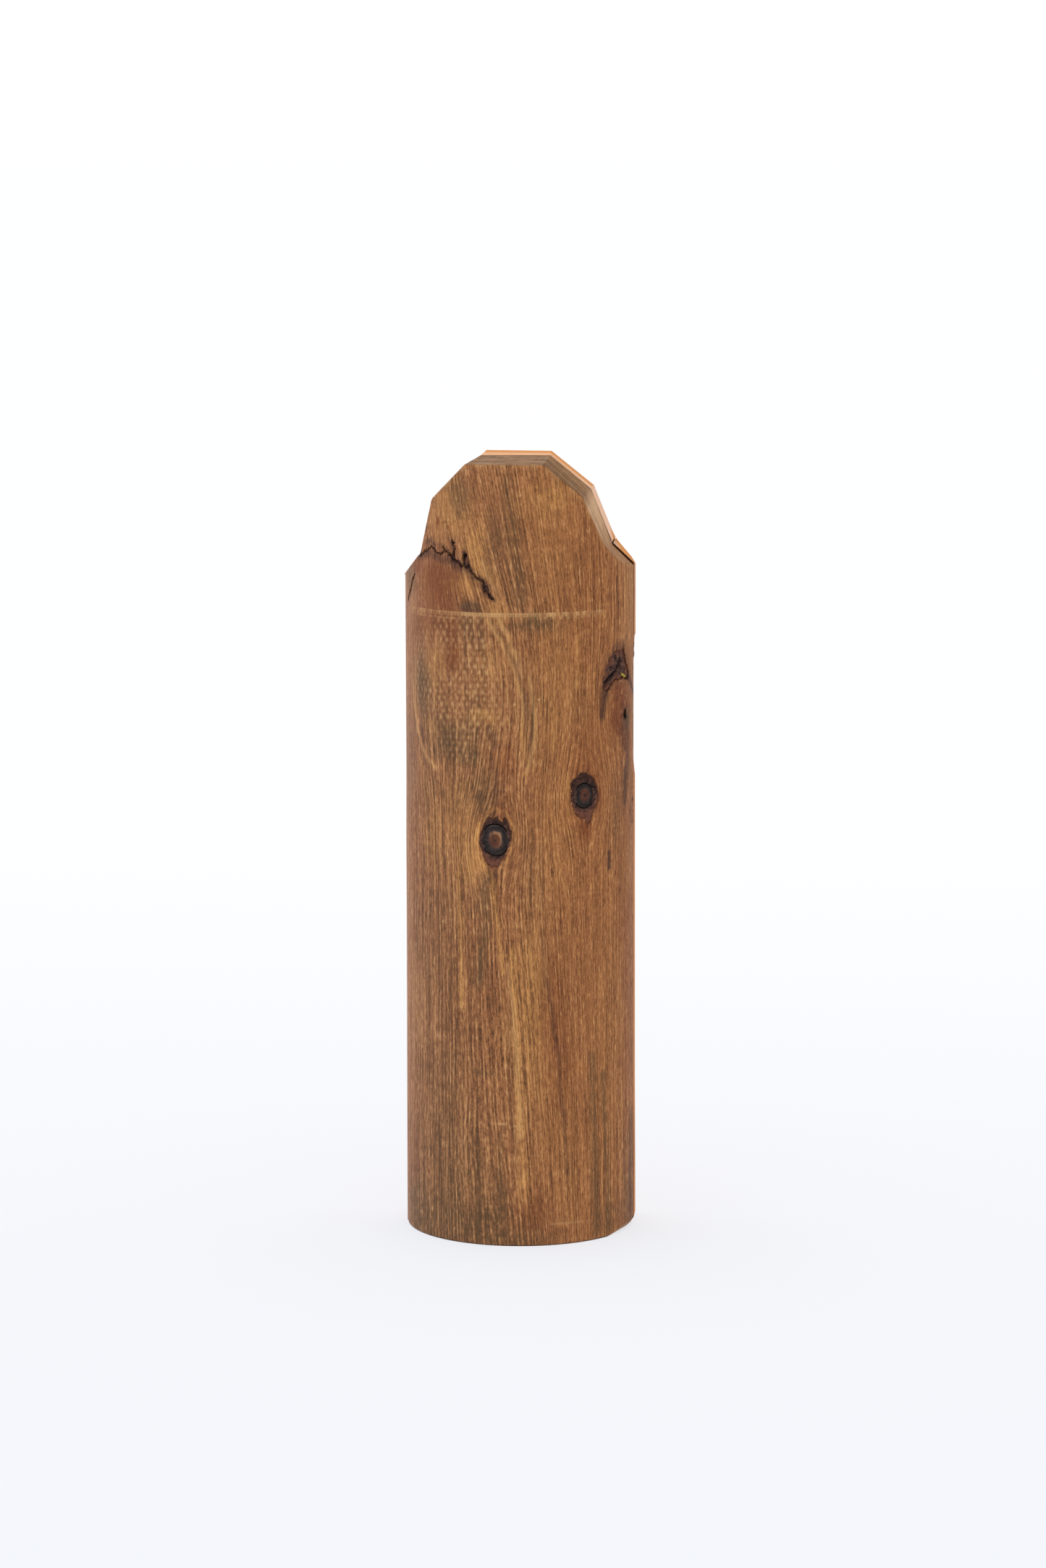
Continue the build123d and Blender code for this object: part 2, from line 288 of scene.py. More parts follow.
def star_distance(corners, centre, s, z, seed, jag):
    """Rough distance outside a star-shaped outline with a ragged edge; below 0 inside it."""
    ds = s - centre[0] + jag * value_noise(s * 1.2, z * 1.2, seed)
    dz = z - centre[1] + jag * value_noise(s * 1.2 + 7, z * 1.2, seed + 1)
    return np.hypot(ds, dz) - star_radius(corners, np.arctan2(dz, ds))


def seam_distance(s, z):
    """Distance outside the jagged edge of the bark seam; below 0 inside it."""
    jag_s = s + 0.40 * value_noise(s * 1.3, z * 1.3, 21) + 0.20 * value_noise(s * 2.9, z * 2.6, 23)
    jag_z = z + 0.45 * value_noise(s * 1.5 + 5, z * 0.9, 22) + 0.25 * value_noise(s * 2.7, z * 3.1, 24)
    gap, along = line_distance(jag_s, jag_z, SEAM_PATH)
    width = np.interp(along, np.linspace(0, 1, len(SEAM_HALF_WIDTH)), SEAM_HALF_WIDTH)
    result = gap - width
    for spike, tip, root in SEAM_SPIKES:
        gap, along = line_distance(jag_s, jag_z, spike)
        result = np.minimum(result, gap - tip - (root - tip) * along)
    return result


# ---------------------------------------------------------------- grain and stain fields
# Fibres part round these: arc, height, half width, half height, strength
GRAIN_EYES = [
    (-4.6, 126, 8, 12, 0.86), (24, 139, 8, 12, 0.86), (41, 165, 9, 18, 0.8), (50.6, 131, 4, 7, 0.8),
    (-19, 172, 22, 34, 0.45),
]
# Stains as oval patches: arc, height, half width, half height, strength
DARK_PATCHES = [
    (8, 191.8, 8.5, 2.8, 0.72), (-12, 197.2, 3.8, 2, 0.9), (-33, 171.5, 5.6, 11.5, 0.7),
    (-19, 157.5, 11, 6, 0.62), (-13, 151.5, 4.5, 3.5, 0.62), (-12, 166, 3.5, 5, 0.22),
    (-8.5, 141, 5, 7.5, 0.55), (-12.5, 190, 5, 5.5, 0.3), (-26, 70, 16, 60, 0.26), (-21, 22, 16, 30, 0.38),
    (-24, 3, 30, 11, 0.55), (2, 1, 12, 4, 0.4), (-8.5, 53.6, 3, 1.1, 0.55), (43.8, 161, 3, 3, 0.8),
    (-42, 204, 4.5, 5, 0.6), (-16.5, 230.5, 4.5, 6.5, 0.6), (-3.8, 217, 4.2, 12, 0.36),
    (1.5, 203, 3, 7, 0.25), (45, 12, 6, 18, 0.35), (-8, 16, 5, 14, 0.3), (-38, 8, 8, 10, 0.4),
    (36, 5, 8, 6, 0.25), (-31, 138, 6, 12, 0.18), (6, 163, 3.5, 13, 0.34), (22, 167, 4, 6, 0.18),
    (-42, 146, 5, 16, 0.28), (45, 144, 3, 4, 0.3), (-10, 108, 4, 6, 0.22), (-18, 20, 5, 12, 0.25),
    (38, 132, 4, 12, 0.3), (-17, 140, 5, 8, 0.25), (7, 114, 3, 12, 0.25),
]
GOLD_PATCHES = [
    (-20, 225, 8, 9, 0.55), (-9.8, 212, 4, 10, 0.7), (-26, 178, 4, 9, 0.42), (-9, 163, 4.5, 2.4, 0.75),
    (-13, 204, 5, 3, 0.5), (-29, 158.5, 3.5, 2.5, 0.4), (14, 172, 6, 24, 0.24), (-17, 130, 7, 16, 0.34),
    (15, 230.5, 5, 3.5, 0.5), (14, 122, 7, 22, 0.15), (35, 60, 8, 40, 0.15), (-30, 202, 5, 4, 0.25),
    (-4, 197, 3.5, 3.5, 0.55), (-12, 120, 3.2, 7, 0.6), (16, 24, 8, 16, 0.14), (-27, 126, 4, 12, 0.4),
    (46, 196, 5, 20, 0.34), (46, 114, 4, 12, 0.28), (6.5, 78, 3.5, 13, 0.25), (-42, 78, 5, 14, 0.22),
    (-6, 180, 6, 6, 0.28), (14, 44, 5, 16, 0.2), (6.5, 70, 4.6, 30, 0.52), (-2, 66, 2.5, 12, 0.22),
    (6, 228, 6, 6, 0.08), (12, 230, 8, 8, 0.28), (14, 212, 8, 14, 0.2), (-5.5, 205.5, 2.6, 5, 0.6),
    (34, 168, 2, 6, 0.3),
]
RED_PATCHES = [
    (-25, 203.5, 10, 8.5, 0.88), (-22, 192.5, 7, 6, 0.85), (-19.4, 182, 2.8, 6.5, 0.8),
    (-34, 191, 7, 5, 0.5), (40.5, 163, 6.5, 10.5, 0.95), (24, 150, 7, 9, 0.35), (24, 130, 3, 5.5, 0.9),
    (29, 138, 2, 5, 0.45), (14.5, 64, 5, 30, 0.45), (24, 139, 6.5, 8.5, 0.4), (-36, 120, 7, 24, 0.2),
    (44, 176, 6, 7, 0.4), (20, 205, 18, 26, 0.12), (-2, 150, 3, 6, 0.5), (43.5, 154, 3, 3.4, 0.6),
    (44, 84, 7, 50, 0.3), (50.6, 131, 2.4, 3.4, 0.6), (-24.8, 222.4, 0.9, 2.3, 0.9),
    (-21.8, 222, 1.4, 0.7, 0.6), (-20.6, 219.6, 0.8, 0.8, 0.6), (5.5, 9, 7, 7, 0.5),
    (-36.5, 208.5, 3.5, 3, 0.7), (-1.5, 132, 2.2, 7, 0.35),
]
# Stains as brush strokes, some with painted shade: strength, half width at each end, path
STROKES = {
    "halo": [
        (0.97, 1.5, 2.4, [(31.1, 162.8), (31.6, 166.2), (32.4, 169.8), (33.6, 173.4)]),
        (0.85, 1.3, 0.9, [(43.4, 175.8), (46.4, 173.2), (49.2, 170.4), (52.6, 167.4)]),
        (0.4, 1.2, 1, [(36.6, 183.2), (40.6, 184.4), (42.4, 184)]),
        (0.72, 1.5, 2.1, [(45.6, 149.6), (44.6, 146), (43.4, 141), (43.2, 135)]),
        (0.45, 1.9, 1.7, [(43.4, 157.4), (43.6, 151.8)]),
        (0.45, 0.6, 0.6, [
            (41, 157.6), (40.5, 154.4), (42.2, 151.2), (44.9, 150.9), (46.8, 154.3), (45.8, 157.6),
        ]),
        # The next eight strokes follow the seam and its side cracks: stain together with painted shade
        # below the cracks
        (0.62, 0.8, 1.5, [(-34.4, 210.8), (-31.6, 211.2), (-28, 212.6), (-24, 211.2), (-19, 210.4)]),
        (0.52, 1.4, 1, [(-19, 210.4), (-15.6, 208.4), (-12.6, 206.6), (-9.6, 204.4), (-7.2, 201.4)]),
        (0.7, 0.9, 0.8, [(-29.4, 215.6), (-27.4, 216.4), (-25.8, 215)]),
        (0.75, 0.6, 0.8, [(-20, 212), (-18, 211), (-15.4, 209.6), (-12.6, 208)]),
        (0.75, 0.8, 1.1, [(-9.2, 205.8), (-7.6, 204.6), (-7.3, 202.8)]),
        (0.7, 1.1, 0.4, [(-7.3, 202.8), (-6.2, 200.6), (-4.6, 199)]),
        (0.85, 0.45, 0.9, [(-18.6, 217), (-17.9, 214.2), (-17.9, 212)]),
        (0.85, 0.7, 1.2, [(-14.5, 213.4), (-14.3, 211.6), (-14.2, 209.6)]),
        (0.5, 0.6, 0.9, [(-15, 196), (-9.8, 195.9)]),
        (0.4, 1.2, 1, [(-13.2, 197.2), (-11, 197.4)]),
        (0.8, 0.5, 0.6, [(-37.6, 205.2), (-39.4, 203), (-41.2, 200.2), (-44.6, 196.4)]),
        (0.42, 0.8, 0.7, [(-5.2, 193), (-2.2, 187.8), (0.8, 181.5), (3.4, 174.5), (4.9, 168), (5.4, 163)]),
        (0.3, 0.6, 0.5, [(6.4, 158), (5.9, 154), (4.6, 149)]),
        (0.38, 0.7, 0.5, [(-38.6, 160), (-36, 154.8), (-33, 150.6), (-29.6, 147)]),
        (0.5, 1.2, 1, [(-33.2, 158), (-31.9, 154.4)]),
        (0.42, 1, 0.8, [(-26.4, 152.6), (-25.6, 150.4)]),
        (0.45, 1.4, 0.9, [(-6.2, 160.2), (-5, 157.4), (-4.2, 154)]),
        (0.42, 0.9, 1.8, [(-5.2, 151), (-4.6, 146), (-4.6, 139)]),
        (0.9, 0.6, 0.95, [(34.2, 120.6), (34.4, 115.6)]),
        (0.6, 0.7, 0.6, [(-4.5, 115.4), (-4.3, 114.6)]),
        (0.4, 2.2, 3, [(48.6, 36), (48, 18), (47.6, 0)]),
        (0.52, 0.6, 0.8, [(9.6, 98), (11.6, 80), (13.6, 68), (15.2, 54), (16.4, 38), (18, 22)]),
        (0.45, 0.3, 0.3, [(3, 112.5), (3.1, 108)]),
    ],
    "dark": [
        (0.6, 1.8, 1.8, [(-7.4, 114), (-7.4, 104), (-8, 94), (-10, 82)]),
        (0.55, 1.4, 1.6, [(26.8, 58), (27.2, 40), (27.8, 22), (28.4, 2)]),
        (0.55, 1, 1.8, [(31.4, 52), (32.6, 34), (33.4, 16), (33.6, 2)]),
        (0.42, 2, 2.2, [(-0.6, 236), (1, 222), (2.6, 208), (3.8, 199)]),
        (0.4, 0.8, 2.4, [(-2.6, 37), (-3, 22), (-2.4, 8)]),
    ],
    "gold": [
        (0.7, 0.9, 0.5, [
            (-6.3, 192.5), (-3, 187.6), (0, 182), (2.4, 176), (3.6, 169), (3.8, 161), (4.8, 151),
        ]),
        (0.65, 0.7, 0.8, [(-3.4, 194), (-0.4, 188), (1.8, 182)]),
        (0.5, 0.4, 0.7, [(6.4, 176), (7.6, 166), (7.6, 158), (6.6, 152), (5, 146.5)]),
        (0.6, 0.7, 0.7, [
            (-39.3, 176), (-38.4, 167), (-36.4, 159.5), (-33.4, 153.8), (-29.6, 149.6), (-26, 146.6),
        ]),
        (0.45, 0.7, 0.8, [(-35, 150.5), (-31.6, 145), (-29.6, 136)]),
        (0.95, 0.5, 0.7, [(-5.4, 114.2), (-4.9, 107), (-4, 99), (-3, 92), (-2.2, 85)]),
        (0.95, 0.8, 1.3, [(0.2, 92), (0.9, 80), (1.5, 66), (2.4, 50), (3.1, 36)]),
        (0.55, 1.1, 1.7, [(3.1, 36), (3.6, 27), (4.2, 20)]),
        (0.32, 1.7, 2.4, [(4.2, 20), (5, 10)]),
        (0.6, 0.8, 1, [(-16.4, 122), (-16.8, 108), (-16.4, 94), (-15.8, 74)]),
        (0.6, 0.5, 0.6, [(21.2, 188), (21.6, 180), (21.9, 172)]),
        (0.5, 0.4, 0.4, [(13.5, 166), (13.6, 153)]),
        (0.7, 0.7, 0.9, [(-9.6, 131), (-10.8, 126), (-10, 121), (-8, 117.6), (-6.4, 115)]),
        (0.6, 0.4, 0.5, [
            (-8.2, 132), (-6.6, 134.6), (-4, 135.6), (-1, 134.6), (0.9, 130.5), (1.2, 126), (0, 121.5),
            (-2.2, 117.6),
        ]),
        (0.45, 0.8, 0.8, [(18.2, 146), (18, 139), (18.8, 133)]),
        (0.35, 0.6, 0.8, [(35.6, 159), (37.4, 156), (39.2, 151.5)]),
    ],
    "dash": [
        (0.34, 0.8, 0.4, [(-6.3, 192.5), (-3, 187.6), (0, 182), (2.4, 176), (3.6, 169), (3.8, 161)]),
        (0.36, 0.6, 0.6, [(-3.4, 194), (-0.4, 188), (1.8, 182), (3.8, 176)]),
        (0.36, 0.4, 0.5, [(6.4, 176), (7.6, 166), (7.6, 158), (6.6, 152), (5, 146.5)]),
        (0.34, 0.5, 0.6, [
            (-39.3, 172), (-38.4, 165), (-36.4, 158.5), (-33.4, 153.4), (-29.6, 149.4), (-26, 146.6),
        ]),
        (0.34, 0.5, 0.5, [(-8.8, 211), (-6.6, 206), (-4, 201.5)]),
        (0.4, 0.4, 0.9, [(-0.8, 88), (0.4, 76), (1.5, 62), (2.4, 48), (3, 34)]),
        (0.7, 0.22, 0.18, [(-7.2, 38.5), (-2, 38.1), (4, 37.1)]),
        (0.35, 0.22, 0.22, [(13, 6.6), (27, 6.2)]),
    ],
}
# Where the grain is calm, and where the feed roller pressed; as the patches above
CALM_PATCHES = [
    (-30, 203, 14, 9, 0.95), (-24, 184, 14, 16, 0.75), (41, 162, 6, 14, 0.9), (-20, 224, 9, 12, 0.7),
    (20, 216, 14, 16, 0.4), (0, 224, 26, 18, 0.3), (26, 90, 14, 120, 0.5), (-20, 168, 16, 12, 0.5),
    (48, 120, 10, 150, 0.6), (-48, 120, 10, 150, 0.6),
]
DIMPLE_PATCHES = [
    (-12, 187, 9, 7, 1), (-30, 188, 8, 6, 0.45), (-9, 172, 9, 12, 1), (-23, 168, 10, 8, 0.85),
    (-34, 174, 5, 11, 0.5), (-9, 163, 8, 5, 0.95), (-18, 153, 10, 5, 0.45), (-22, 189, 5, 5, 0.5),
]
DIMPLE_PITCH = (2.45, 1.97)
DUST = [(3.4, 231), (-28, 222), (-20.2, 223), (25.2, 219.5), (1.5, 167.6), (9, 169), (-22.9, 99.4)]


def grain_coordinate(s, z):
    """Position across the fibres in millimetres; fibres follow lines of equal value."""
    lean = np.interp(z, [195, 240], [0.0, 5.5])
    u = s + lean * np.interp(s, [-40, -10, 15, 40], [1.0, 1.3, 0.8, 0.2])
    u = u + 0.075 * np.minimum(z - 120.0, 0.0) * bump(s - 6.0, 18.0)
    u = u + 1.2 * value_noise(s * 0.045 + 3, z * 0.011 + 1, 41) + 0.30 * value_noise(s * 0.16, z * 0.06, 42)
    for s0, z0, wide, tall, push in GRAIN_EYES:
        ds = s - s0
        u = u - push * ds * bump(np.hypot(ds / wide, (z - z0) / tall), 1.0)
    return u


def patch_sum(patches, s, z):
    """Oval patches of one stain with wandering edges, added up, never past 1."""
    s = s + 1.3 * value_noise(s * 0.22, z * 0.07, 73)
    z = z + 1.6 * value_noise(s * 0.25, z * 0.16, 74)
    left = np.ones(s.shape)
    for s0, z0, wide, tall, strength in patches:
        far = ((s - s0) / wide) ** 2 + ((z - z0) / tall) ** 2
        left = left * (1.0 - strength * np.exp(-(far ** 1.4)))
    return 1.0 - left


def stroke_sum(stain, s, z):
    """Brush strokes of one stain added up, fading at their ends, never past 1."""
    left = np.ones(s.shape)
    s = s + 0.45 * value_noise(s * 0.3, z * 0.12, 71) + 0.20 * value_noise(s * 0.9, z * 0.35, 72)
    for strength, width_start, width_end, path in STROKES[stain]:
        gap, along = line_distance(s, z, path)
        left = left * (1.0 - strength * bump(gap, width_start + (width_end - width_start) * along))
    return 1.0 - left


def dimple_field(s, z):
    """Staggered light dashes pressed in by a feed roller, and the zone they lie in."""
    wide, tall = DIMPLE_PITCH
    row = (z - 185.2 - 0.03 * s) / tall
    level = np.floor(row + 0.5)
    shift = 0.5 * (level % 2) + 0.22 * value_noise(level * 0.9, s * 0.11, 61)
    column = (s + 14.7) / wide + shift
    place = np.floor(column + 0.5)
    across = (column - place) * wide + 0.10 * (row - level) * tall
    up = (row - level) * tall + 0.2 * value_noise(place * 1.7, level * 1.3, 63)
    size = 0.75 + 0.35 * value_noise(place * 2.3 + 9, level * 1.9, 62)
    dash = bump(np.hypot(across / 0.55, up / 0.80), size)
    zone = patch_sum(DIMPLE_PATCHES, s, z) * (0.80 + 0.40 * value_noise(place * 0.9, level * 0.8, 64))
    zone = np.clip(zone, 0.0, 1.0)
    return dash * zone, zone


def from_centre(s, pitch):
    """Distance from the middle of the cell that each arc position falls in."""
    return ((s / pitch) % 1.0 - 0.5) * pitch


def ring_field(s, z):
    """Light band scored round the neck: a thin upper line and short upright dashes, worn away in places."""
    strength = np.interp(s, *RING_STRENGTH)
    fill = np.interp(s, *RING_FILL)
    lively = np.clip(0.60 + 1.10 * value_noise(s * 0.75, s * 0.0, 66), 0.10, 1.15)
    band = smooth(RING_LOW - 0.2, RING_LOW + 0.2, z) * (1.0 - smooth(RING_HIGH - 0.15, RING_HIGH + 0.15, z))
    comb = bump(from_centre(s, 1.22), 0.34)
    band = (fill + (1.0 - fill) * comb * lively) * band + 0.40 * lively * bump(z - RING_HIGH + 0.15, 0.22)
    teeth = bump(from_centre(s, 2.45), 0.55) * bump(z - RING_LOW + 0.4, 0.4)
    left = (1.0 - smooth(-18.0, -14.0, s)) * smooth(-40.0, -36.0, s)
    lower_line = 0.45 * lively * bump(z - RING_LOW + 0.9, 0.25) * left
    return np.clip(strength * (band + 0.5 * teeth) + lower_line, 0.0, 1.0)


def both(first, second):
    """Two masks laid over each other, never past 1."""
    return 1.0 - (1.0 - first) * (1.0 - second)


def fade(distance, width):
    """Stain that dies away outside an edge."""
    return np.exp(-np.maximum(distance, 0.0) / width)


def edge_distances(s, z):
    """Distance outside the edge of each bark feature; below 0 inside it."""
    left_gap, left_along = line_distance(s + 0.25 * value_noise(s, z, 81), z, LEFT_CRACK)
    knots = []
    for knot in KNOTS:
        knots.append(star_distance(knot["bark"], (knot["s"], knot["z"]), s, z, knot["seed"], 0.18))
    return {
        "seam": seam_distance(s, z),
        "left": left_gap - 0.22 * np.sin(np.pi * np.clip(left_along, 0.05, 0.98)),
        "pocket": star_distance(POCKET_OUTLINE, POCKET_CENTRE, s, z, 31, 0.35),
        "hole": np.hypot((s - SIDE_HOLE[0]) / 0.8, z - SIDE_HOLE[1]) - 1.0,
        "knots": knots,
    }


def bark_field(fields, s, z):
    """Where the black of the bark shows on the wood."""
    parts = [
        (0.72 + 0.25 * value_noise(s * 0.9, z * 0.9, 25)) * (1.0 - smooth(-0.10, 0.25, fields["seam"])),
        0.9 * (1.0 - smooth(0.0, 0.40, fields["left"])),
        0.9 * (1.0 - smooth(-0.2, 0.4, fields["pocket"])),
        1.0 - smooth(0.0, 1.1, fields["hole"]),
    ]
    parts += [0.85 * (1.0 - smooth(-0.3, 0.12, distance)) for distance in fields["knots"]]
    return np.maximum.reduce(parts)


def halo_field(fields, s, z):
    """Dark stain round the bark with painted shade along the seam, and the outline of the small knot near
    the right edge.
    """
    knot_line = np.hypot((s - EDGE_KNOT[0]) / 2.6, (z - EDGE_KNOT[1]) / 3.7) - 1.0
    parts = [
        # Painted shade along the seam, together with its stain
        0.55 * fade(fields["seam"], 0.7),
        0.75 * fade(fields["pocket"], 1.1),
        0.6 * fade(fields["hole"], 1.2),
        0.8 * bump(knot_line, 0.16),
    ]
    parts += [0.55 * fade(distance, 0.35) for distance in fields["knots"]]
    return np.maximum.reduce(parts)


def front_fields(s, z):
    """Every mask of the front at arc s and height z."""
    fields = edge_distances(s, z)
    fields["grain"] = grain_coordinate(s, z)
    fields["calm"] = patch_sum(CALM_PATCHES, s, z)
    fields["gold"] = both(stroke_sum("gold", s, z), patch_sum(GOLD_PATCHES, s, z))
    fields["red"] = patch_sum(RED_PATCHES, s, z)
    fields["press"], zone = dimple_field(s, z)
    dark = both(stroke_sum("dark", s, z), patch_sum(DARK_PATCHES, s, z))
    fields["dark"] = np.clip(dark + 0.16 * zone * (1.0 - 2.0 * fields["press"]), 0.0, 1.0)
    fields["ring"] = ring_field(s, z)
    dashes = [fields["press"], fields["ring"], stroke_sum("dash", s, z)]
    dashes += [1.6 * bump(np.hypot(s - s0, z - z0), 0.30) for s0, z0 in DUST]
    fields["dash"] = np.maximum.reduce(dashes)
    fields["bark"] = bark_field(fields, s, z)
    fields["halo"] = both(stroke_sum("halo", s, z), halo_field(fields, s, z))
    return fields


def front_relief(s, z, fields):
    """How far the surface falls back from the round, as a negative number of millimetres."""
    rise = -0.03 + 0.03 * value_noise(s * 0.12, z * 0.03, 91)
    rise += 0.018 * value_noise(fields["grain"] * 1.1, z * 0.07, 92) * (1.0 - fields["calm"])
    rise -= 0.10 * fields["ring"] + 0.07 * fields["press"] + 0.10 * fade(fields["seam"], 0.6)
    for feature, depth, low, high in PITS:
        rise -= depth * (1.0 - smooth(low, high, fields[feature]))
    for distance in fields["knots"]:
        rise -= KNOT_PIT * (1.0 - smooth(-0.35, 0.0, distance))
    return np.minimum(rise, 0.0)


# ---------------------------------------------------------------- front layer
RIM_RADIUS = 0.38
RIM_STEPS = 4
CUT_ROWS = 56
HIGH_ROWS = 112
# Heights where the spacing of the rows changes, with the spacing
LOW_ROWS = [(0.0, 0.15), (0.9, 0.62), (112.0, 0.40), (150.0, 0.38), (192.6, 0.2), (196.4, None)]
COLUMN_STEPS = [(-41.0, 0.36), (0.0, 0.5)]
# Gap at the joint along the right shoulder, as (across, size)
GAP_WIDTH = [(-36, 0.10), (28.2, 0.12), (29.2, 0.60), (33.8, 0.45), (35.4, 0.20), (36, 0.10)]
GAP_DEPTH = [(-36, 0.5), (28.2, 0.5), (29.4, 2.6), (33.6, 2.2), (35.4, 0.5), (36, 0.5)]
# How black the three lip rows in the joint gap are painted: painted shade in the gap
GAP_WALL_SHADE = np.array([0.6, 1.0, 1.0])


def outline_height(across, outline, soften):
    """Height of a head and shoulders outline, with its corners a little rounded."""
    xs, zs = zip(*outline)
    low = np.interp(across - soften, xs, zs)
    high = np.interp(across + soften, xs, zs)
    return 0.5 * (low + high)


def front_columns():
    """Arc positions of the grid's columns, with one on each corner of the outline."""
    end = RADIUS * math.acos(-FRONT_JOINT / RADIUS)
    corners = [RADIUS * math.asin(x / RADIUS) for x, _ in FRONT_OUTLINE[1:-1]]
    extra = [c + d for c in corners for d in (-0.22, 0.0, 0.22)]
    plain = spaced([(-end, 0.6), *COLUMN_STEPS, (end, None)])
    plain = [c for c in plain if min(abs(c - e) for e in extra) > 0.16]
    return np.array(sorted(plain + extra))


def joint_edge(across):
    """Where each column meets the joint: distance across and height."""
    limit = math.sqrt(RADIUS ** 2 - FRONT_JOINT ** 2)
    x = np.interp(across, [x for x, _ in FRONT_OUTLINE], [x for x, _ in JOINT_OUTLINE])
    x = np.clip(x, -limit, limit)
    x[0], x[-1] = across[0], across[-1]
    return x, outline_height(x, JOINT_OUTLINE, 0.10)


def face_grid(arcs, top, rim, depth):
    """Arc, height and set-back of the curved face and of the rim above it, column by column."""
    low = spaced(LOW_ROWS)
    share = np.linspace(0.0, 1.0, HIGH_ROWS + 1)[1:]
    high = low[-1] + (top - rim - low[-1])[:, None] * share
    face = np.concatenate([np.tile(low, (len(arcs), 1)), high], axis=1)
    angle = np.linspace(0.0, math.pi / 2, RIM_STEPS + 1)[1:]
    z_rim = (top - rim)[:, None] + rim[:, None] * np.sin(angle)
    back_rim = np.minimum(rim, 0.45 * depth)[:, None] * (1.0 - np.cos(angle))
    z = np.concatenate([face, z_rim], axis=1)
    back = np.concatenate([np.zeros_like(face), back_rim], axis=1)
    return np.tile(arcs[:, None], (1, z.shape[1])), z, back


def edge_wear_and_highlights(fields, s, z, top, dressed):
    """Marks the edge of the foot flat and the rubbed top edge as light wood: rubbed wear together with a
    painted highlight.
    """
    # Painted highlight along the rubbed top edge, together with its wear
    worn = np.exp(-(top[:, None] - z) / 0.8) * smooth(-34.0, -14.0, s)
    worn = worn * np.clip(0.30 + value_noise(s * 1.4, z * 0.2, 98), 0.0, 1.0)
    # The foot flat gets light dashes too: painted light from the floor below, together with wear
    fields["dash"] = np.maximum(np.maximum(fields["dash"], 0.30 * dressed), 0.85 * worn)


def curved_surface(s, z, back, across, fields):
    """Across and depth of the curved face, and how deep the foot flat cuts it."""
    turn = s / RADIUS
    radius = RADIUS - 0.02 + front_relief(s, z, fields) + side_swell(RADIUS * np.sin(turn), z)
    radius = radius - 0.35 * np.exp(-z / 0.35)
    flat = foot_flat(z) / np.cos(np.clip(turn - math.radians(FOOT_FLAT_ANGLE), -1.2, 1.2))
    dressed = smooth(0.0, 0.15, radius - flat)
    radius = np.minimum(radius, flat)
    radius = np.minimum(radius, worn_limit(z) / np.maximum(np.sin(turn), 0.5))
    x = radius * np.sin(turn)
    y = -radius * np.cos(turn) + back
    x[0] = across[0] - side_swell(across[0], z[0])
    x[-1] = np.minimum(across[-1] + side_swell(across[-1], z[-1]), worn_limit(z[-1]))
    y[0], y[-1] = FRONT_JOINT, FRONT_JOINT
    return x, y, dressed


def cut_face(x, y, z, x_joint, z_joint):
    """Straight lines from the rim back to the joint, with fine saw marks."""
    run = np.linspace(0.0, 1.0, CUT_ROWS + 1)[1:]
    x_cut = x[:, None] + (x_joint - x)[:, None] * run
    y_cut = y[:, None] + (FRONT_JOINT - y)[:, None] * run
    z_cut = z[:, None] + (z_joint - z)[:, None] * run
    marks = 0.035 * value_noise(y_cut * 1.3 + 0.05 * x_cut, x_cut * 0.03, 96)
    marks = marks + 0.05 * value_noise(x_cut * 0.1, y_cut * 0.2, 97)
    return x_cut, y_cut, z_cut + marks * np.sin(np.pi * run)


def joint_lip(x_joint, z_end, gap):
    """Two rows that open the gap at the joint."""
    drop = np.interp(x_joint, *zip(*GAP_DEPTH))
    y = np.stack([FRONT_JOINT - 0.6 * gap, np.full(len(gap), FRONT_JOINT)], axis=1)
    z = np.stack([z_end - 0.3 * drop, z_end - drop], axis=1)
    z[0], z[-1] = z_end[0], z_end[-1]
    return np.stack([x_joint, x_joint], axis=1), y, z


def front_faces(columns, rows):
    """Quads of the grid, then the base and the flat joint face."""
    left = list(range(rows))
    crest = [column * rows + rows - 1 for column in range(1, columns - 1)]
    right = list(range((columns - 1) * rows, columns * rows))[::-1]
    base = [column * rows for column in range(columns)]
    return grid_faces(columns, rows) + [base, left + crest + right]


def front_attributes(fields, z, gap):
    """Point attributes; those of the cut face carry on from the rim."""
    face_rows = fields["grain"].shape[1]
    cut_rows = z.shape[1] - face_rows

    def carry(values, scale=1.0):
        """Extends a face field over the cut face by repeating its last row."""
        return np.concatenate([values, scale * np.repeat(values[:, -1:], cut_rows, axis=1)], axis=1)

    bark_and_gap_shade = carry(fields["bark"])
    # Painted shade: black on the walls of the open gap at the joint
    gap_wall_shade = smooth(0.2, 0.45, gap)[:, None] * GAP_WALL_SHADE
    bark_and_gap_shade[:, -3:] = np.maximum(bark_and_gap_shade[:, -3:], gap_wall_shade)
    cut = np.ones(z.shape)
    cut[:, :face_rows - RIM_STEPS] = 0.0
    cut[:, face_rows - RIM_STEPS:face_rows] = np.linspace(0.25, 1.0, RIM_STEPS)
    triples = {
        "grain": [carry(fields["grain"]), z, carry(fields["calm"])],
        "tone": [carry(fields["dark"]), carry(fields["gold"]), carry(fields["red"])],
        "mark": [bark_and_gap_shade, carry(fields["halo"]), carry(fields["dash"], 0.0)],
    }
    attributes = {key: np.stack(values, axis=2).reshape(-1, 3) for key, values in triples.items()}
    attributes["cut"] = cut.ravel()
    return attributes


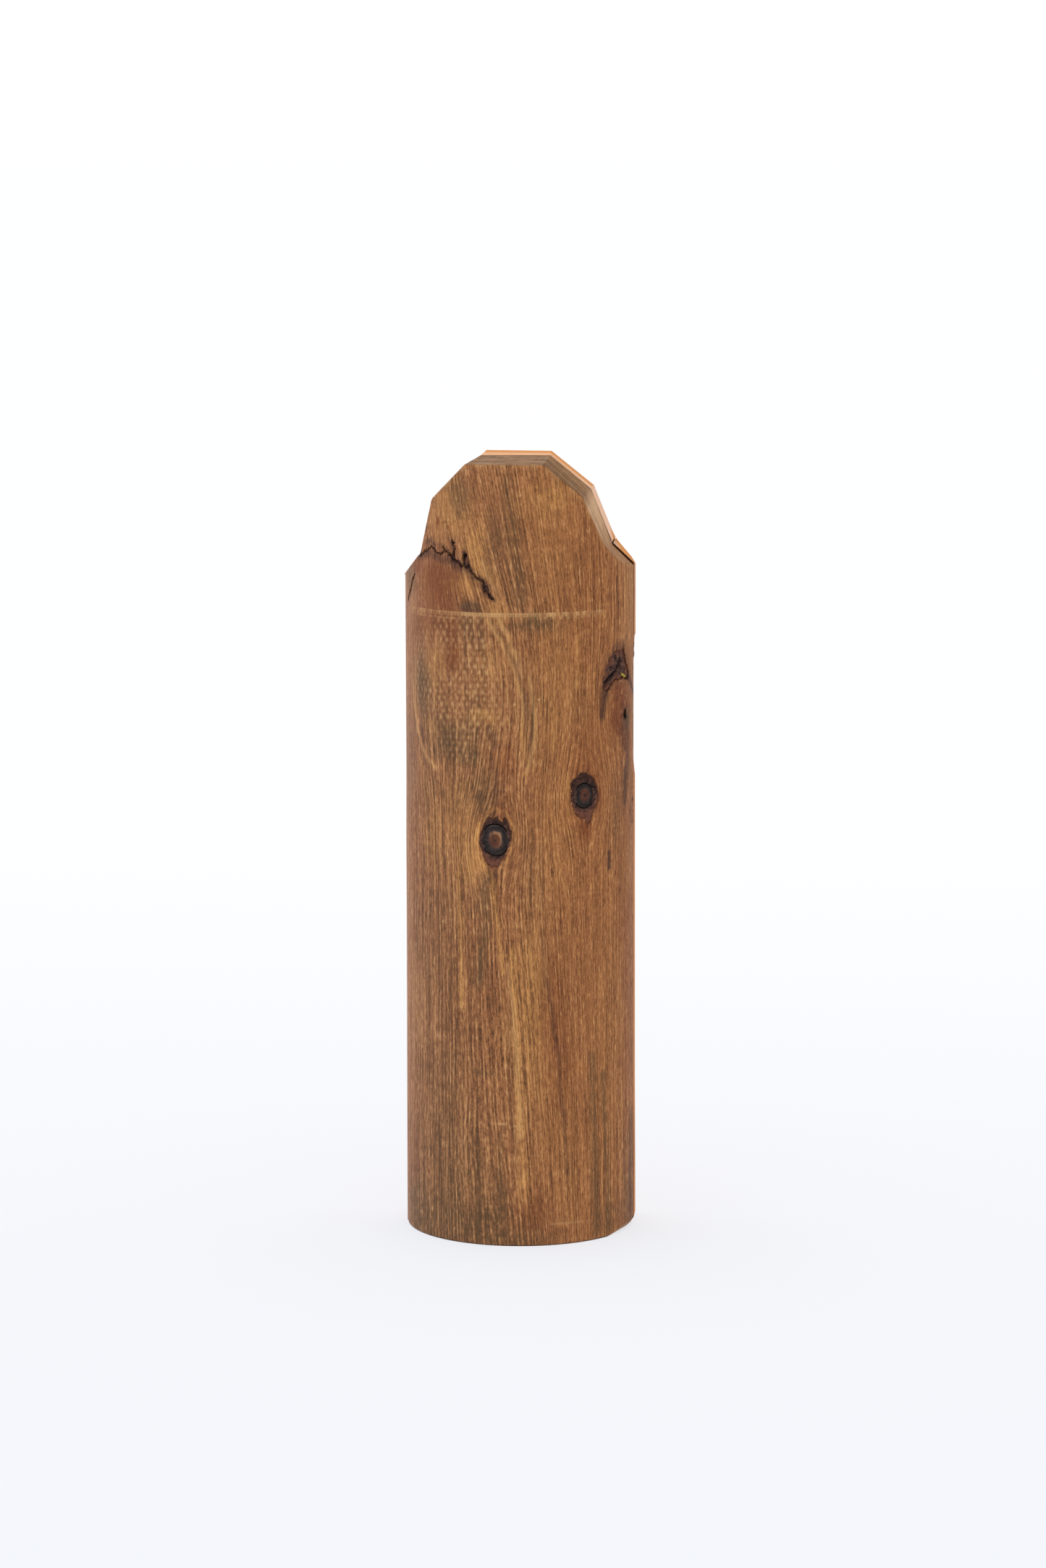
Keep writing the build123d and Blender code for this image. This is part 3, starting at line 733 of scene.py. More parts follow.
def build_front():
    """Closed solid of the front layer: curved face, rim, cut face, flat joint face and base."""
    arcs = front_columns()
    across = RADIUS * np.sin(arcs / RADIUS)
    depth = np.maximum(FRONT_JOINT + RADIUS * np.cos(arcs / RADIUS), 1e-6)
    top = outline_height(across, FRONT_OUTLINE, 0.18)
    rim = RIM_RADIUS * (1.0 + 0.35 * value_noise(arcs * 0.4, 0.0 * arcs, 95))
    s, z, back = face_grid(arcs, top, rim, depth)
    fields = front_fields(s, z)
    x, y, dressed = curved_surface(s, z, back, across, fields)
    edge_wear_and_highlights(fields, s, z, top, dressed)
    x_joint, z_joint = joint_edge(across)
    x_joint[0], x_joint[-1] = x[0, -1], x[-1, -1]
    x_cut, y_cut, z_cut = cut_face(x[:, -1], y[:, -1], z[:, -1], x_joint, z_joint)
    gap = np.minimum(np.interp(x_joint, *zip(*GAP_WIDTH)), 0.4 * depth)
    gap[0] = gap[-1] = 0.0
    y_cut = np.minimum(y_cut, (FRONT_JOINT - gap)[:, None])
    x_lip, y_lip, z_lip = joint_lip(x_joint, z_cut[:, -1], gap)
    x = np.concatenate([x, x_cut, x_lip], axis=1)
    y = np.concatenate([y, y_cut, y_lip], axis=1)
    z = np.concatenate([z, z_cut, z_lip], axis=1)
    points = np.stack([x, y, z], axis=2).reshape(-1, 3)
    attributes = front_attributes(fields, z, gap)
    make_piece("front_wood", "front_half", points, front_faces(*x.shape), "stained_wood", attributes)


# ---------------------------------------------------------------- back layer
HOLLOW_LOW = 141.5
HOLLOW_HIGH = 185.2
HOLLOW_DEPTH = 2.3
KERF_POINTS = [(0.30, -0.30), (-0.42, -2.45), (-0.90, -2.30), (-0.25, 0.45)]
KERF_CORNER = BACK_NEAR_OUTLINE[-2]
BACK_EASE = 1.1
EASE_START = BACK - BACK_EASE
CAP_STEP = 0.03
# Points along each straight side of the head outline, from the right shoulder to the left one
TOP_STEPS = [10, 22, 20, 28, 22, 22, 10]
BASE_POINTS = 48
# Height under which the back layer's sides are plain, and the places of their points along it
SIDE_TOP = 203.0
BACK_SIDE_STEPS = spaced([(0.0, 0.4), (2.4, 2.0), (136.0, 0.5), (190.0, 1.0), (SIDE_TOP, None)]) / SIDE_TOP


def depth_share(depth):
    """Place between the joint, 0, and the far face, 1."""
    return (depth - REAR_JOINT) / (BACK - REAR_JOINT)


def rear_loop(half_width, depth):
    """Closed outline of the back layer at one depth, trimmed to the round."""
    share = depth_share(depth)
    outline = (1.0 - share) * np.array(BACK_NEAR_OUTLINE) + share * np.array(BACK_FAR_OUTLINE)
    right_top = np.interp(half_width, *outline.T)
    left_top = np.interp(-half_width, *outline.T)
    loop = [(x, 0.0) for x in np.linspace(-half_width, half_width, BASE_POINTS)]
    loop += [(half_width, right_top * t) for t in BACK_SIDE_STEPS[1:]]
    corners = [(half_width, right_top), *outline[-2:0:-1], (-half_width, left_top)]
    for number, steps in enumerate(TOP_STEPS):
        (x0, z0), (x1, z1) = corners[number], corners[number + 1]
        for step in range(1, steps + 1):
            t = step / steps
            loop.append((x0 + (x1 - x0) * t, z0 + (z1 - z0) * t))
        if number == 0:
            loop.pop()
            deep = 1.0 - 0.75 * share
            loop += [(x1 + dx * deep, z1 + dz * deep) for dx, dz in KERF_POINTS]
    loop += [(-half_width, left_top * t) for t in BACK_SIDE_STEPS[-2:0:-1]]
    return np.array(loop)


def hollow_depth(height, depth):
    """How far the natural edge on the right falls back from the round: a scoop that closes backwards."""
    closing = smooth(1.5, 10.5, depth + 1.2 * value_noise(height * 0.22, depth * 0.0, 116))
    late = closing ** 4
    low = HOLLOW_LOW + 13.0 * late
    high = HOLLOW_HIGH - 15.0 * late
    wander = 0.9 * value_noise(height * 0.12, depth * 0.15, 111)
    fine = 0.22 * value_noise(height * 1.1, depth * 0.5, 112)
    body = smooth(-0.4, 5.5, height - low) * smooth(0.0, 1.4 + 5.0 * late, high - height)
    return body * (HOLLOW_DEPTH + wander + fine) * (1.0 - closing)


def inward_shift(loop, amount):
    """Shift of each outline point inwards by an amount, along the average of its neighbours' normals."""
    ahead = np.roll(loop, -1, axis=0) - loop
    behind = loop - np.roll(loop, 1, axis=0)
    ahead /= np.maximum(np.linalg.norm(ahead, axis=1, keepdims=True), 1e-9)
    behind /= np.maximum(np.linalg.norm(behind, axis=1, keepdims=True), 1e-9)
    tangent = ahead + behind
    tangent /= np.maximum(np.linalg.norm(tangent, axis=1, keepdims=True), 1e-9)
    normal = np.stack([-tangent[:, 1], tangent[:, 0]], axis=1)
    turn = np.clip(np.abs(np.sum(tangent * ahead, axis=1)), 0.6, 1.0)
    return normal * amount / turn[:, None]


def back_depths():
    """Depth of each ring, with how far its outline is eased inwards."""
    rings = [(REAR_JOINT, 0.10), (REAR_JOINT + 0.12, 0.0)]
    rings += [(y, 0.0) for y in np.linspace(REAR_JOINT + 0.6, EASE_START, 26)]
    for step in range(1, 6):
        angle = step / 5 * math.pi / 2
        rings.append((EASE_START + BACK_EASE * math.sin(angle), BACK_EASE * (1.0 - math.cos(angle))))
    return rings + [(BACK, BACK_EASE + CAP_STEP)]


def back_ring(depth, inset):
    """Points of the back layer at one depth, with the hollow, the kerf and the worn foot."""
    half_width = math.sqrt(RADIUS ** 2 - min(depth, EASE_START) ** 2)
    loop = rear_loop(half_width, depth)
    if depth > EASE_START:
        shrink = math.sqrt(RADIUS ** 2 - depth ** 2) - half_width
        loop[:, 0] += np.sign(loop[:, 0]) * shrink * (np.abs(loop[:, 0]) > half_width - 0.01)
    across, height = loop.T
    from_kerf = np.hypot(across - KERF_CORNER[0], height - KERF_CORNER[1])
    x, z = (loop + inward_shift(loop, inset) * (1.0 - bump(from_kerf, 3.0))[:, None]).T
    z = np.where(height < 0.001, 0.0, np.maximum(z, 0.0))
    hollow = hollow_depth(height, np.full(len(loop), depth))
    x = x - np.where(across > half_width - 0.3, hollow, 0.0)
    x = x + np.sign(across) * side_swell(across, height)
    turn = math.radians(FOOT_FLAT_ANGLE)
    flat = (foot_flat(z) + depth * math.cos(turn)) / math.sin(turn)
    beyond = np.maximum(half_width - np.minimum(flat, worn_limit(z)), 0.0)
    x = x - beyond * np.clip(across / half_width, 0.0, 1.0) ** 4
    wave = 0.05 * value_noise(across * 0.2 + depth * 0.9, height * 0.05 + depth, 113) - 0.05
    plain_cut = (height > SIDE_TOP) & (depth > REAR_JOINT + 0.3) & (depth < EASE_START - 0.1)
    z = z + np.where(plain_cut, wave, 0.0)
    return np.stack([x, np.full(len(loop), depth), z], axis=1)


def back_attributes(points, count):
    """Which points lie on the sawn top, how far back they are, and how dark the hollow and kerf are; the
    kerf's darkness is painted shade.
    """
    x, y, z = points.T
    sides = len(BACK_SIDE_STEPS) - 2
    around = np.arange(len(points)) % count
    on_top = (around >= BASE_POINTS + sides) & (around < count - sides)
    not_cap = np.arange(len(points)) < len(points) - count
    rough_edge = hollow_depth(z, y) * (x > 28.0)
    from_kerf = np.hypot(x - KERF_CORNER[0] + 0.4, z - KERF_CORNER[1] + 1.5)
    # Painted shade inside the kerf, fading towards the far face
    kerf = (1.6 - 1.4 * depth_share(y)) * bump(from_kerf, 1.25)
    glued = 1.6 * (y < REAR_JOINT + 0.01)
    dark = np.maximum(np.clip(rough_edge / 1.8, 0.0, 1.0), np.maximum(kerf, glued))
    return {"cut": (on_top & not_cap).astype(float), "depth": depth_share(y), "hollow": not_cap * dark}


def build_back():
    """Closed solid of the back layer, swept from the joint to the far face."""
    rings = [back_ring(depth, inset) for depth, inset in back_depths()]
    count = len(rings[0])
    points = np.concatenate(rings)
    faces = band_faces(len(rings), count) + end_caps(len(rings), count)
    attributes = back_attributes(points, count)
    make_piece("back_wood", "back_half", points, faces, "pale_wood", attributes, sharp_degrees=32.0)


# ---------------------------------------------------------------- knots, bark and seam
KNOT_SPOKES = 110
HEART_RINGS = 24
SLEEVE_RINGS = 14
POCKET_SPOKES = 130
POCKET_RINGS = 30
SEAM_STEPS = 150
SEAM_LANES = 9
BARK_SHARP = 60.0


def on_round(s, z, radius):
    """Points at arc s and height z, at a distance from the round's axis."""
    turn = s / RADIUS
    return np.stack([radius * np.sin(turn), -radius * np.cos(turn), z], axis=-1)


def spoke_grid(rings, spokes):
    """Share of the way outwards and angle, for rings of points round a middle."""
    angle = np.linspace(0.0, 2 * math.pi, spokes, endpoint=False)
    share = np.tile(np.linspace(0.0, 1.0, rings)[:, None], (1, spokes))
    return share, angle


def make_plug(name, node, slot, s, z, top, bottom, attributes):
    """Solid plug or sleeve from rings of points going outwards, closed by a copy at a lower radius."""
    rings, spokes = s.shape
    plug = np.ptp(s[0]) < 1e-6
    upper = on_round(s, z, top).reshape(-1, 3)
    lower = on_round(s[::-1], z[::-1], np.full(s.shape, bottom)).reshape(-1, 3)
    faces = band_faces(2 * rings, spokes, closed=not plug)
    doubled = {key: np.concatenate([field, field[::-1]]).ravel() for key, field in attributes.items()}
    make_piece(name, node, np.concatenate([upper, lower]), faces, slot, doubled, BARK_SHARP)


def knot_edge(knot, angle):
    """Distance from the middle of a knot to the edge of its dead core."""
    wide, tall = knot["core"]
    edge = 1.0 / np.hypot(np.cos(angle) / wide, np.sin(angle) / tall)
    wander = value_noise(np.cos(angle) * 1.7 + 9, np.sin(angle) * 1.7 + 4, knot["seed"] + 3)
    return edge * (1.0 + 0.05 * wander)


def build_heart(knot):
    """Dead core of a knot, with growth rings and drying checks."""
    seed = knot["seed"]
    share, angle = spoke_grid(HEART_RINGS, KNOT_SPOKES)
    edge = knot_edge(knot, angle)
    s = knot["s"] + share * edge * np.cos(angle)
    z = knot["z"] + share * edge * np.sin(angle)
    turn = np.tile(angle, (HEART_RINGS, 1))
    checks = value_noise(np.cos(turn) * 3.1 + 5, np.sin(turn) * 3.1 + 5, seed + 5)
    rise = -0.12 - 0.10 * share ** 2 - 0.20 * smooth(0.90, 1.0, share)
    rise -= 0.22 * bump(checks, 0.07) * smooth(0.30, 0.6, share)
    rise += 0.03 * np.sin(share * 26.0) + 0.04 * value_noise(s * 1.7, z * 1.7, seed + 6)
    values = {"share": share, "tan": knot["tan"] * (0.5 + 0.5 * np.cos(turn - 0.8)) ** 1.5}
    name = knot["name"]
    make_plug(f"{name}_heart", f"{name}_core", "knot_wood", s, z, RADIUS + rise, RADIUS - 2.4, values)


def build_sleeve(knot):
    """Bark sleeve round a dead core, with a dark trench on either side."""
    seed = knot["seed"]
    share, angle = spoke_grid(SLEEVE_RINGS, KNOT_SPOKES)
    core = knot_edge(knot, angle)
    outer = np.maximum(star_radius(knot["bark"], angle) + 0.1, core + 0.4)
    reach = core * 0.99 + (outer - core * 0.99) * share
    s = knot["s"] + reach * np.cos(angle)
    z = knot["z"] + reach * np.sin(angle)
    up = np.sin(np.tile(angle, (SLEEVE_RINGS, 1)))
    side = smooth(0.45, 0.8, np.abs(up))
    rough = 0.12 * value_noise(s * 1.6, z * 1.3, seed + 7) + 0.08 * value_noise(s * 3.3, z * 3.1, seed + 8)
    trench = 1.1 * bump(reach - core, 0.32) * side
    tail = smooth(0.5, 2.0, reach - core) * (0.55 + 0.45 * smooth(0.0, -0.5, up))
    crest = 0.45 * smooth(0.15, 0.5, share) * smooth(0.0, 0.5, up)
    tip = np.maximum(bump(reach - core, 0.50) * side, crest)
    top = RADIUS - 0.22 + rough - trench
    values = {"tip": tip, "tail": tail}
    name = knot["name"]
    make_plug(f"{name}_sleeve", f"{name}_bark", "bark", s, z, top, RADIUS - 2.45, values)


def pocket_crack(s, z):
    """Distance to the nearest crack in the pocket."""
    shaken = s + 0.25 * value_noise(s * 1.3, z * 1.3, 82)
    gaps = [line_distance(shaken, z, crack)[0] for crack in POCKET_CRACKS]
    return np.minimum.reduce(gaps)


def build_pocket():
    """Crumbly bark in the crown-shaped pocket, split by dark cracks, with a fleck of resin."""
    share, angle = spoke_grid(POCKET_RINGS, POCKET_SPOKES)
    edge = star_radius(POCKET_OUTLINE, angle) + 0.15
    s = POCKET_CENTRE[0] + share * edge * np.cos(angle)
    z = POCKET_CENTRE[1] + share * edge * np.sin(angle)
    crack = bump(pocket_crack(s, z), 0.60)
    rough = 0.12 * value_noise(s * 1.0, z * 0.8, 121) + 0.08 * value_noise(s * 2.6, z * 2.2, 122)
    tail = smooth(0.45, 0.95, share + 0.2 * value_noise(s * 0.6, z * 0.6, 123))
    resin = smooth(0.45, 0.25, line_distance(s, z, RESIN_FLECK)[0])
    top = RADIUS - 0.22 + rough - 1.2 * crack - 0.2 * smooth(0.9, 1.0, share) + 0.25 * resin
    values = {"tip": crack, "tail": tail, "resin": resin}
    make_plug("pocket_bark", "bark_pocket", "bark", s, z, top, RADIUS - 2.6, values)


def build_seam():
    """Ribbon of crumbled bark lying in the seam."""
    t = np.linspace(0.0, 1.0, SEAM_STEPS)
    knots = np.linspace(0.0, 1.0, len(SEAM_PATH))
    s_mid, z_mid = [np.interp(t, knots, values) for values in zip(*SEAM_PATH)]
    half = np.interp(t, knots, SEAM_HALF_WIDTH) + 0.5
    tangent = np.stack([np.gradient(s_mid), np.gradient(z_mid)], axis=1)
    tangent /= np.linalg.norm(tangent, axis=1, keepdims=True)
    lanes = np.linspace(-1.0, 1.0, SEAM_LANES)
    s = s_mid[:, None] - tangent[:, 1:2] * half[:, None] * lanes
    z = z_mid[:, None] + tangent[:, 0:1] * half[:, None] * lanes
    rough = 0.25 * value_noise(s * 1.4, z * 1.2, 131) + 0.12 * value_noise(s * 3.1, z * 3.0, 132)
    upper = on_round(s, z, RADIUS - 0.75 + rough - 0.35 * np.abs(lanes) ** 2)
    lower = on_round(s[:, ::-1], z[:, ::-1], np.full(s.shape, RADIUS - 2.3))
    points = np.concatenate([upper, lower], axis=1).reshape(-1, 3)
    faces = band_faces(SEAM_STEPS, 2 * SEAM_LANES) + end_caps(SEAM_STEPS, 2 * SEAM_LANES)
    make_piece("seam_bark", "bark_seam", points, faces, "bark", {}, BARK_SHARP)


SCALES_LOW, SCALES_HIGH = 176.6, 183.0
SCALES_GRID = (34, 22)


def build_edge_bark():
    """Ragged bark scales left in the hollow edge of the back layer."""
    rows, columns = SCALES_GRID
    heights = np.linspace(SCALES_LOW, SCALES_HIGH, rows)
    z, y = np.meshgrid(heights, np.linspace(REAR_JOINT + 0.35, 8.0, columns), indexing="ij")
    base = np.sqrt(RADIUS ** 2 - y ** 2)
    rough = 0.55 * value_noise(z * 0.75, y * 0.6, 141) + 0.30 * value_noise(z * 1.9, y * 1.7, 142)
    ragged = 0.35 * value_noise(z * 0.6, y * 0.5, 143)
    island = smooth(0.0, 0.35, 1.0 + ragged - np.hypot((z - 179.8) / 3.4, (y - 0.6) / 6.2))
    outer = np.minimum(base - 2.9 + (2.65 + 1.2 * rough) * island, base - 0.06)
    upper = np.stack([outer, y, z], axis=2)
    lower = np.stack([base - 3.5, y, z], axis=2)
    points = np.concatenate([upper.reshape(-1, 3), lower.reshape(-1, 3)])
    offset = rows * columns
    faces = grid_faces(rows, columns)
    faces += [[offset + i for i in face[::-1]] for face in faces]
    border = list(range(columns))
    border += [i * columns + columns - 1 for i in range(1, rows)]
    border += [(rows - 1) * columns + i for i in range(columns - 2, -1, -1)]
    border += [i * columns for i in range(rows - 2, 0, -1)]
    for start, end in zip(border, border[1:] + border[:1]):
        faces.append([start, end, offset + end, offset + start])
    make_piece("edge_scales", "edge_bark", points, faces, "bark", {}, BARK_SHARP)


# ---------------------------------------------------------------- node helpers
class Value:
    """Output of a node; plain sums, differences and products of values add math nodes."""

    def __init__(self, shader, socket):
        self.shader = shader
        self.socket = socket

    def __add__(self, other):
        return self.shader.math("ADD", self, other)

    def __sub__(self, other):
        return self.shader.math("SUBTRACT", self, other)

    def __rsub__(self, other):
        return self.shader.math("SUBTRACT", other, self)

    def __mul__(self, other):
        return self.shader.math("MULTIPLY", self, other)


class Shader:
    """Adds and links the nodes of a material or a world."""

    def __init__(self, owner):
        owner.use_nodes = True
        self.tree = owner.node_tree

    def put(self, socket, value):
        """Links a value to a socket, or sets the socket to a number or colour."""
        if isinstance(value, Value):
            self.tree.links.new(value.socket, socket)
        elif isinstance(value, tuple) and socket.type == "RGBA":
            socket.default_value = (*value, 1.0)
        else:
            socket.default_value = value

    def fill(self, node, inputs):
        for key, value in inputs.items():
            self.put(node.inputs[key], value)

    def node(self, kind, inputs=None, output=0, **settings):
        """Adds a node and gives one of its outputs."""
        made = self.tree.nodes.new(kind)
        for key, value in settings.items():
            setattr(made, key, value)
        self.fill(made, inputs or {})
        return Value(self, made.outputs[output])

    def attribute(self, name, output="Fac"):
        return self.node("ShaderNodeAttribute", output=output, attribute_name=name)

    def place(self, output="Object"):
        return self.node("ShaderNodeTexCoord", output=output)

    def split(self, vector):
        made = self.tree.nodes.new("ShaderNodeSeparateXYZ")
        self.put(made.inputs[0], vector)
        return [Value(self, output) for output in made.outputs]

    def join(self, x, y, z):
        return self.node("ShaderNodeCombineXYZ", {0: x, 1: y, 2: z})

    def math(self, operation, a, b=0.0, clamp=False):
        return self.node("ShaderNodeMath", {0: a, 1: b}, operation=operation, use_clamp=clamp)

    def product(self, a, b):
        """Product held between 0 and 1."""
        return self.math("MULTIPLY", a, b, clamp=True)

    def largest(self, first, *others):
        for other in others:
            first = self.math("MAXIMUM", first, other)
        return first

    def noise(self, vector, detail=2.0, roughness=0.5, distortion=0.0, scale=1.0):
        inputs = {"Vector": vector, "Scale": scale, "Detail": detail, "Roughness": roughness}
        inputs["Distortion"] = distortion
        return self.node("ShaderNodeTexNoise", inputs, "Fac", noise_dimensions="3D")

    def fit(self, value, low, high, out_low=0.0, out_high=1.0):
        """Maps low..high to out_low..out_high, held at both ends."""
        inputs = {0: value, 1: low, 2: high, 3: out_low, 4: out_high}
        return self.node("ShaderNodeMapRange", inputs, clamp=True)

    def mix(self, factor, a, b, blend="MIX"):
        """Mix of two colours."""
        settings = dict(data_type="RGBA", blend_type=blend, clamp_factor=True)
        return self.node("ShaderNodeMix", {0: factor, 6: a, 7: b}, 2, **settings)

    def blend(self, factor, a, b):
        """Mix of two numbers."""
        return self.node("ShaderNodeMix", {0: factor, 2: a, 3: b}, data_type="FLOAT", clamp_factor=True)

    def add_up(self, parts):
        """Weighted sum of noises round a middle value of one half."""
        total = 0.5
        for value, gain in parts:
            total = self.math("ADD", total, (value - 0.5) * gain)
        return total

    def ramp(self, factor, stops):
        made = self.tree.nodes.new("ShaderNodeValToRGB")
        self.put(made.inputs[0], factor)
        elements = made.color_ramp.elements
        while len(elements) < len(stops):
            elements.new(0.5)
        for element, (place, colour) in zip(elements, stops):
            element.position = place
            element.color = (*colour, 1.0)
        return Value(self, made.outputs[0])


class Look(Shader):
    """A material with one principled surface."""

    def __init__(self, name):
        self.material = bpy.data.materials.new(name)
        super().__init__(self.material)
        self.surface = self.tree.nodes["Principled BSDF"]

    def bump(self, height, distance, strength):
        inputs = {"Strength": strength, "Distance": distance, "Height": height}
        return self.node("ShaderNodeBump", inputs)

    def finish(self, colour, roughness, normal, specular):
        inputs = {"Base Color": colour, "Roughness": roughness, "Specular IOR Level": specular}
        if normal is not None:
            inputs["Normal"] = normal
        self.fill(self.surface, inputs)
        return self.material


# ---------------------------------------------------------------- looks; colours are linear
BROWN_DARK = (0.088, 0.034, 0.014)
BROWN_MID = (0.299, 0.116, 0.0425)
BROWN_LIGHT = (0.540, 0.252, 0.094)
GOLD_DARK = (0.230, 0.100, 0.034)
GOLD = (0.710, 0.345, 0.107)
OLIVE = (0.100, 0.056, 0.025)
RED_DARK = (0.110, 0.030, 0.012)
RED = (0.225, 0.060, 0.016)
DASH_LIGHT = (0.600, 0.350, 0.150)
# Dark brown for stain round the bark and for painted shade along the seam
HALO_STAIN_AND_SHADE = (0.050, 0.019, 0.014)
# Black of the bark, also used as painted shade in the joint gap
BLACK_BARK_AND_GAP_SHADE = (0.012, 0.008, 0.009)
# Side-to-side tint of the stained front: partly stain, partly painted light, cooler on the left and warmer
# on the right
LEFT_STAIN_AND_LIGHT_TINT = (0.97, 1.01, 1.11)
RIGHT_STAIN_AND_LIGHT_TINT = (1.02, 0.99, 0.93)
CUT_DARK = (0.130, 0.062, 0.026)
CUT_LIGHT = (0.360, 0.190, 0.085)
# Lighter copies of the saw-cut colour for the steep right facet and the shoulders: painted light for the
# slant of these facets
CUT_STEEP_LIT_DARK = (0.340, 0.195, 0.105)
CUT_STEEP_LIT = (0.720, 0.460, 0.280)
CUT_SHOULDER_LIT_DARK = (0.210, 0.095, 0.042)
CUT_SHOULDER_LIT = (0.460, 0.240, 0.120)
# Where the saw-cut colour changes: across for the steep right facet, up for the shoulders, in metres; the
# lighter colours there are painted light
STEEP_FACET = (0.0216, 0.0234)
SHOULDER_FACET = (0.2250, 0.2115)


def saw_cut(look):
    """Tone and colour of the front's saw-cut faces: grey-brown end grain with fine lines along the cut,
    painted lighter on the steep right facet and the shoulders.
    """
    place = look.place()
    px, py, pz = look.split(place)
    lines = streaks(look, py * 1000.0, (px + pz) * 1000.0, 1.3, 30.0, 8.0, 3.0)
    cloud = look.noise(place, 3.0, 0.6, 0.0, 260.0)
    tone = look.add_up([(lines, 1.8), (cloud, 1.0)])
    colour = look.ramp(tone, [(0.20, CUT_DARK), (0.80, CUT_LIGHT)])
    # Painted light: lighter colours on the steep right facet and the shoulders
    steep = look.ramp(tone, [(0.15, CUT_STEEP_LIT_DARK), (0.85, CUT_STEEP_LIT)])
    colour = look.mix(look.fit(px, *STEEP_FACET), colour, steep)
    shoulder = look.ramp(tone, [(0.15, CUT_SHOULDER_LIT_DARK), (0.85, CUT_SHOULDER_LIT)])
    return tone, look.mix(look.fit(pz, *SHOULDER_FACET, 0.0, 0.9), colour, shoulder)


def streaks(look, across, along, width, length, seed, detail, roughness=0.55):
    """Noise drawn out along the fibres; width and length are in millimetres."""
    return look.noise(look.join(across * (1.0 / width), along * (1.0 / length), seed), detail, roughness)


def stained_wood():
    """Brown stained wood: fibre lines, gold, red and dark stains, grey-brown saw-cut end grain; painted
    shade along the seam and in the joint gap, painted light on the top edge, the foot flat and the steeper
    saw-cut facets, and a side-to-side light tint.
    """
    look = Look("stained_wood_look")
    across, along, calm = look.split(look.attribute("grain", "Vector"))
    dark, gold, red = look.split(look.attribute("tone", "Vector"))
    bark_and_gap_shade, halo, dash = look.split(look.attribute("mark", "Vector"))
    cut = look.attribute("cut")

    broad = streaks(look, across, along, 2.2, 110.0, 1.0, 2.0)
    patchy = streaks(look, across, along, 4.0, 7.0, 7.0, 3.0)
    line = streaks(look, across, along, 0.62, 46.0, 2.0, 2.0, 0.60)
    fine = streaks(look, across, along, 0.42, 12.0, 3.0, 2.0, 0.60)
    fleck = streaks(look, across, along, 0.50, 2.6, 4.0, 1.0)
    grit = streaks(look, across, along, 0.42, 0.9, 5.0, 1.0)
    thread = streaks(look, across, along, 0.75, 130.0, 9.0, 1.0)

    comb = look.math("SINE", across * 5.2 + broad * 16.0) * look.fit(fine, 0.35, 0.65, 0.2, 1.0)
    tone = look.add_up([
        (comb + 0.5, look.blend(calm, 0.085, 0.0)), (broad, 0.35), (patchy, 0.22),
        (line, look.blend(calm, 1.45, 0.15)), (fine, look.blend(calm, 1.15, 0.60)),
        (fleck, look.blend(calm, 0.95, 0.55)), (grit, 0.55),
    ])
    colour = look.ramp(tone, [(0.08, BROWN_DARK), (0.50, BROWN_MID), (0.92, BROWN_LIGHT)])
    # Painted light colour together with stain variation: cooler towards the left, warmer towards the right
    stain_and_light_tint = look.mix(look.fit(across, -24.0, 32.0), LEFT_STAIN_AND_LIGHT_TINT, RIGHT_STAIN_AND_LIGHT_TINT)
    colour = look.mix(1.0, colour, stain_and_light_tint, "MULTIPLY")
    colour = look.mix(gold * 0.95, colour, look.ramp(tone, [(0.10, GOLD_DARK), (0.80, GOLD)]))
    colour = look.mix(red * 0.92, colour, look.ramp(tone, [(0.15, RED_DARK), (0.75, RED)]))
    colour = look.mix(look.product(dark, look.fit(tone, 0.30, 0.75, 1.30, 0.55)), colour, OLIVE)
    thread = look.fit(thread, 0.43, 0.36, 0.0, 0.60) * look.fit(calm, 0.0, 0.6, 1.0, 0.25)
    thread = thread * look.fit(fine, 0.35, 0.60, 0.45, 1.0)
    colour = look.mix(thread * look.fit(across, 6.0, -8.0, 0.35, 1.0), colour, BROWN_DARK)
    light_fleck = look.fit(fleck, 0.58, 0.72) * look.fit(line, 0.50, 0.66)
    colour = look.mix(light_fleck * 0.70, colour, DASH_LIGHT)
    # Light dashes: roller dimples, the ring, scratches, dust, and painted highlight on the worn edges
    colour = look.mix(dash * 0.80, colour, DASH_LIGHT)
    # Dark halos: stain round the bark, and painted shade along the seam
    colour = look.mix(look.product(halo, look.fit(tone, 0.2, 0.9, 1.15, 0.70)), colour, HALO_STAIN_AND_SHADE)
    # Black bark, and painted shade on the walls of the joint gap
    colour = look.mix(bark_and_gap_shade, colour, BLACK_BARK_AND_GAP_SHADE)

    cut_tone, cut_colour = saw_cut(look)
    colour = look.mix(cut * (1.0 - bark_and_gap_shade), colour, cut_colour)
    normal = look.bump(look.blend(cut, tone - dash * 0.3, cut_tone), 0.00015, 0.5)
    rough = look.blend(bark_and_gap_shade, look.fit(tone, 0.2, 0.8, 0.66, 0.50), 0.9)
    specular = look.blend(cut, look.blend(bark_and_gap_shade, 0.14, 0.05), 0.02)
    return look.finish(colour, rough, normal, specular)


PALE_PINK = (0.820, 0.530, 0.380)
PALE_PEACH = (0.800, 0.450, 0.250)
PALE_ORANGE = (0.680, 0.270, 0.070)
PALE_SIDE = (0.540, 0.200, 0.050)
PALE_DARK = (0.340, 0.115, 0.030)
# Dark brown of the hollow edge and the glued face, also used as painted shade inside the kerf
HOLLOW_BROWN_AND_KERF_SHADE = (0.060, 0.026, 0.014)


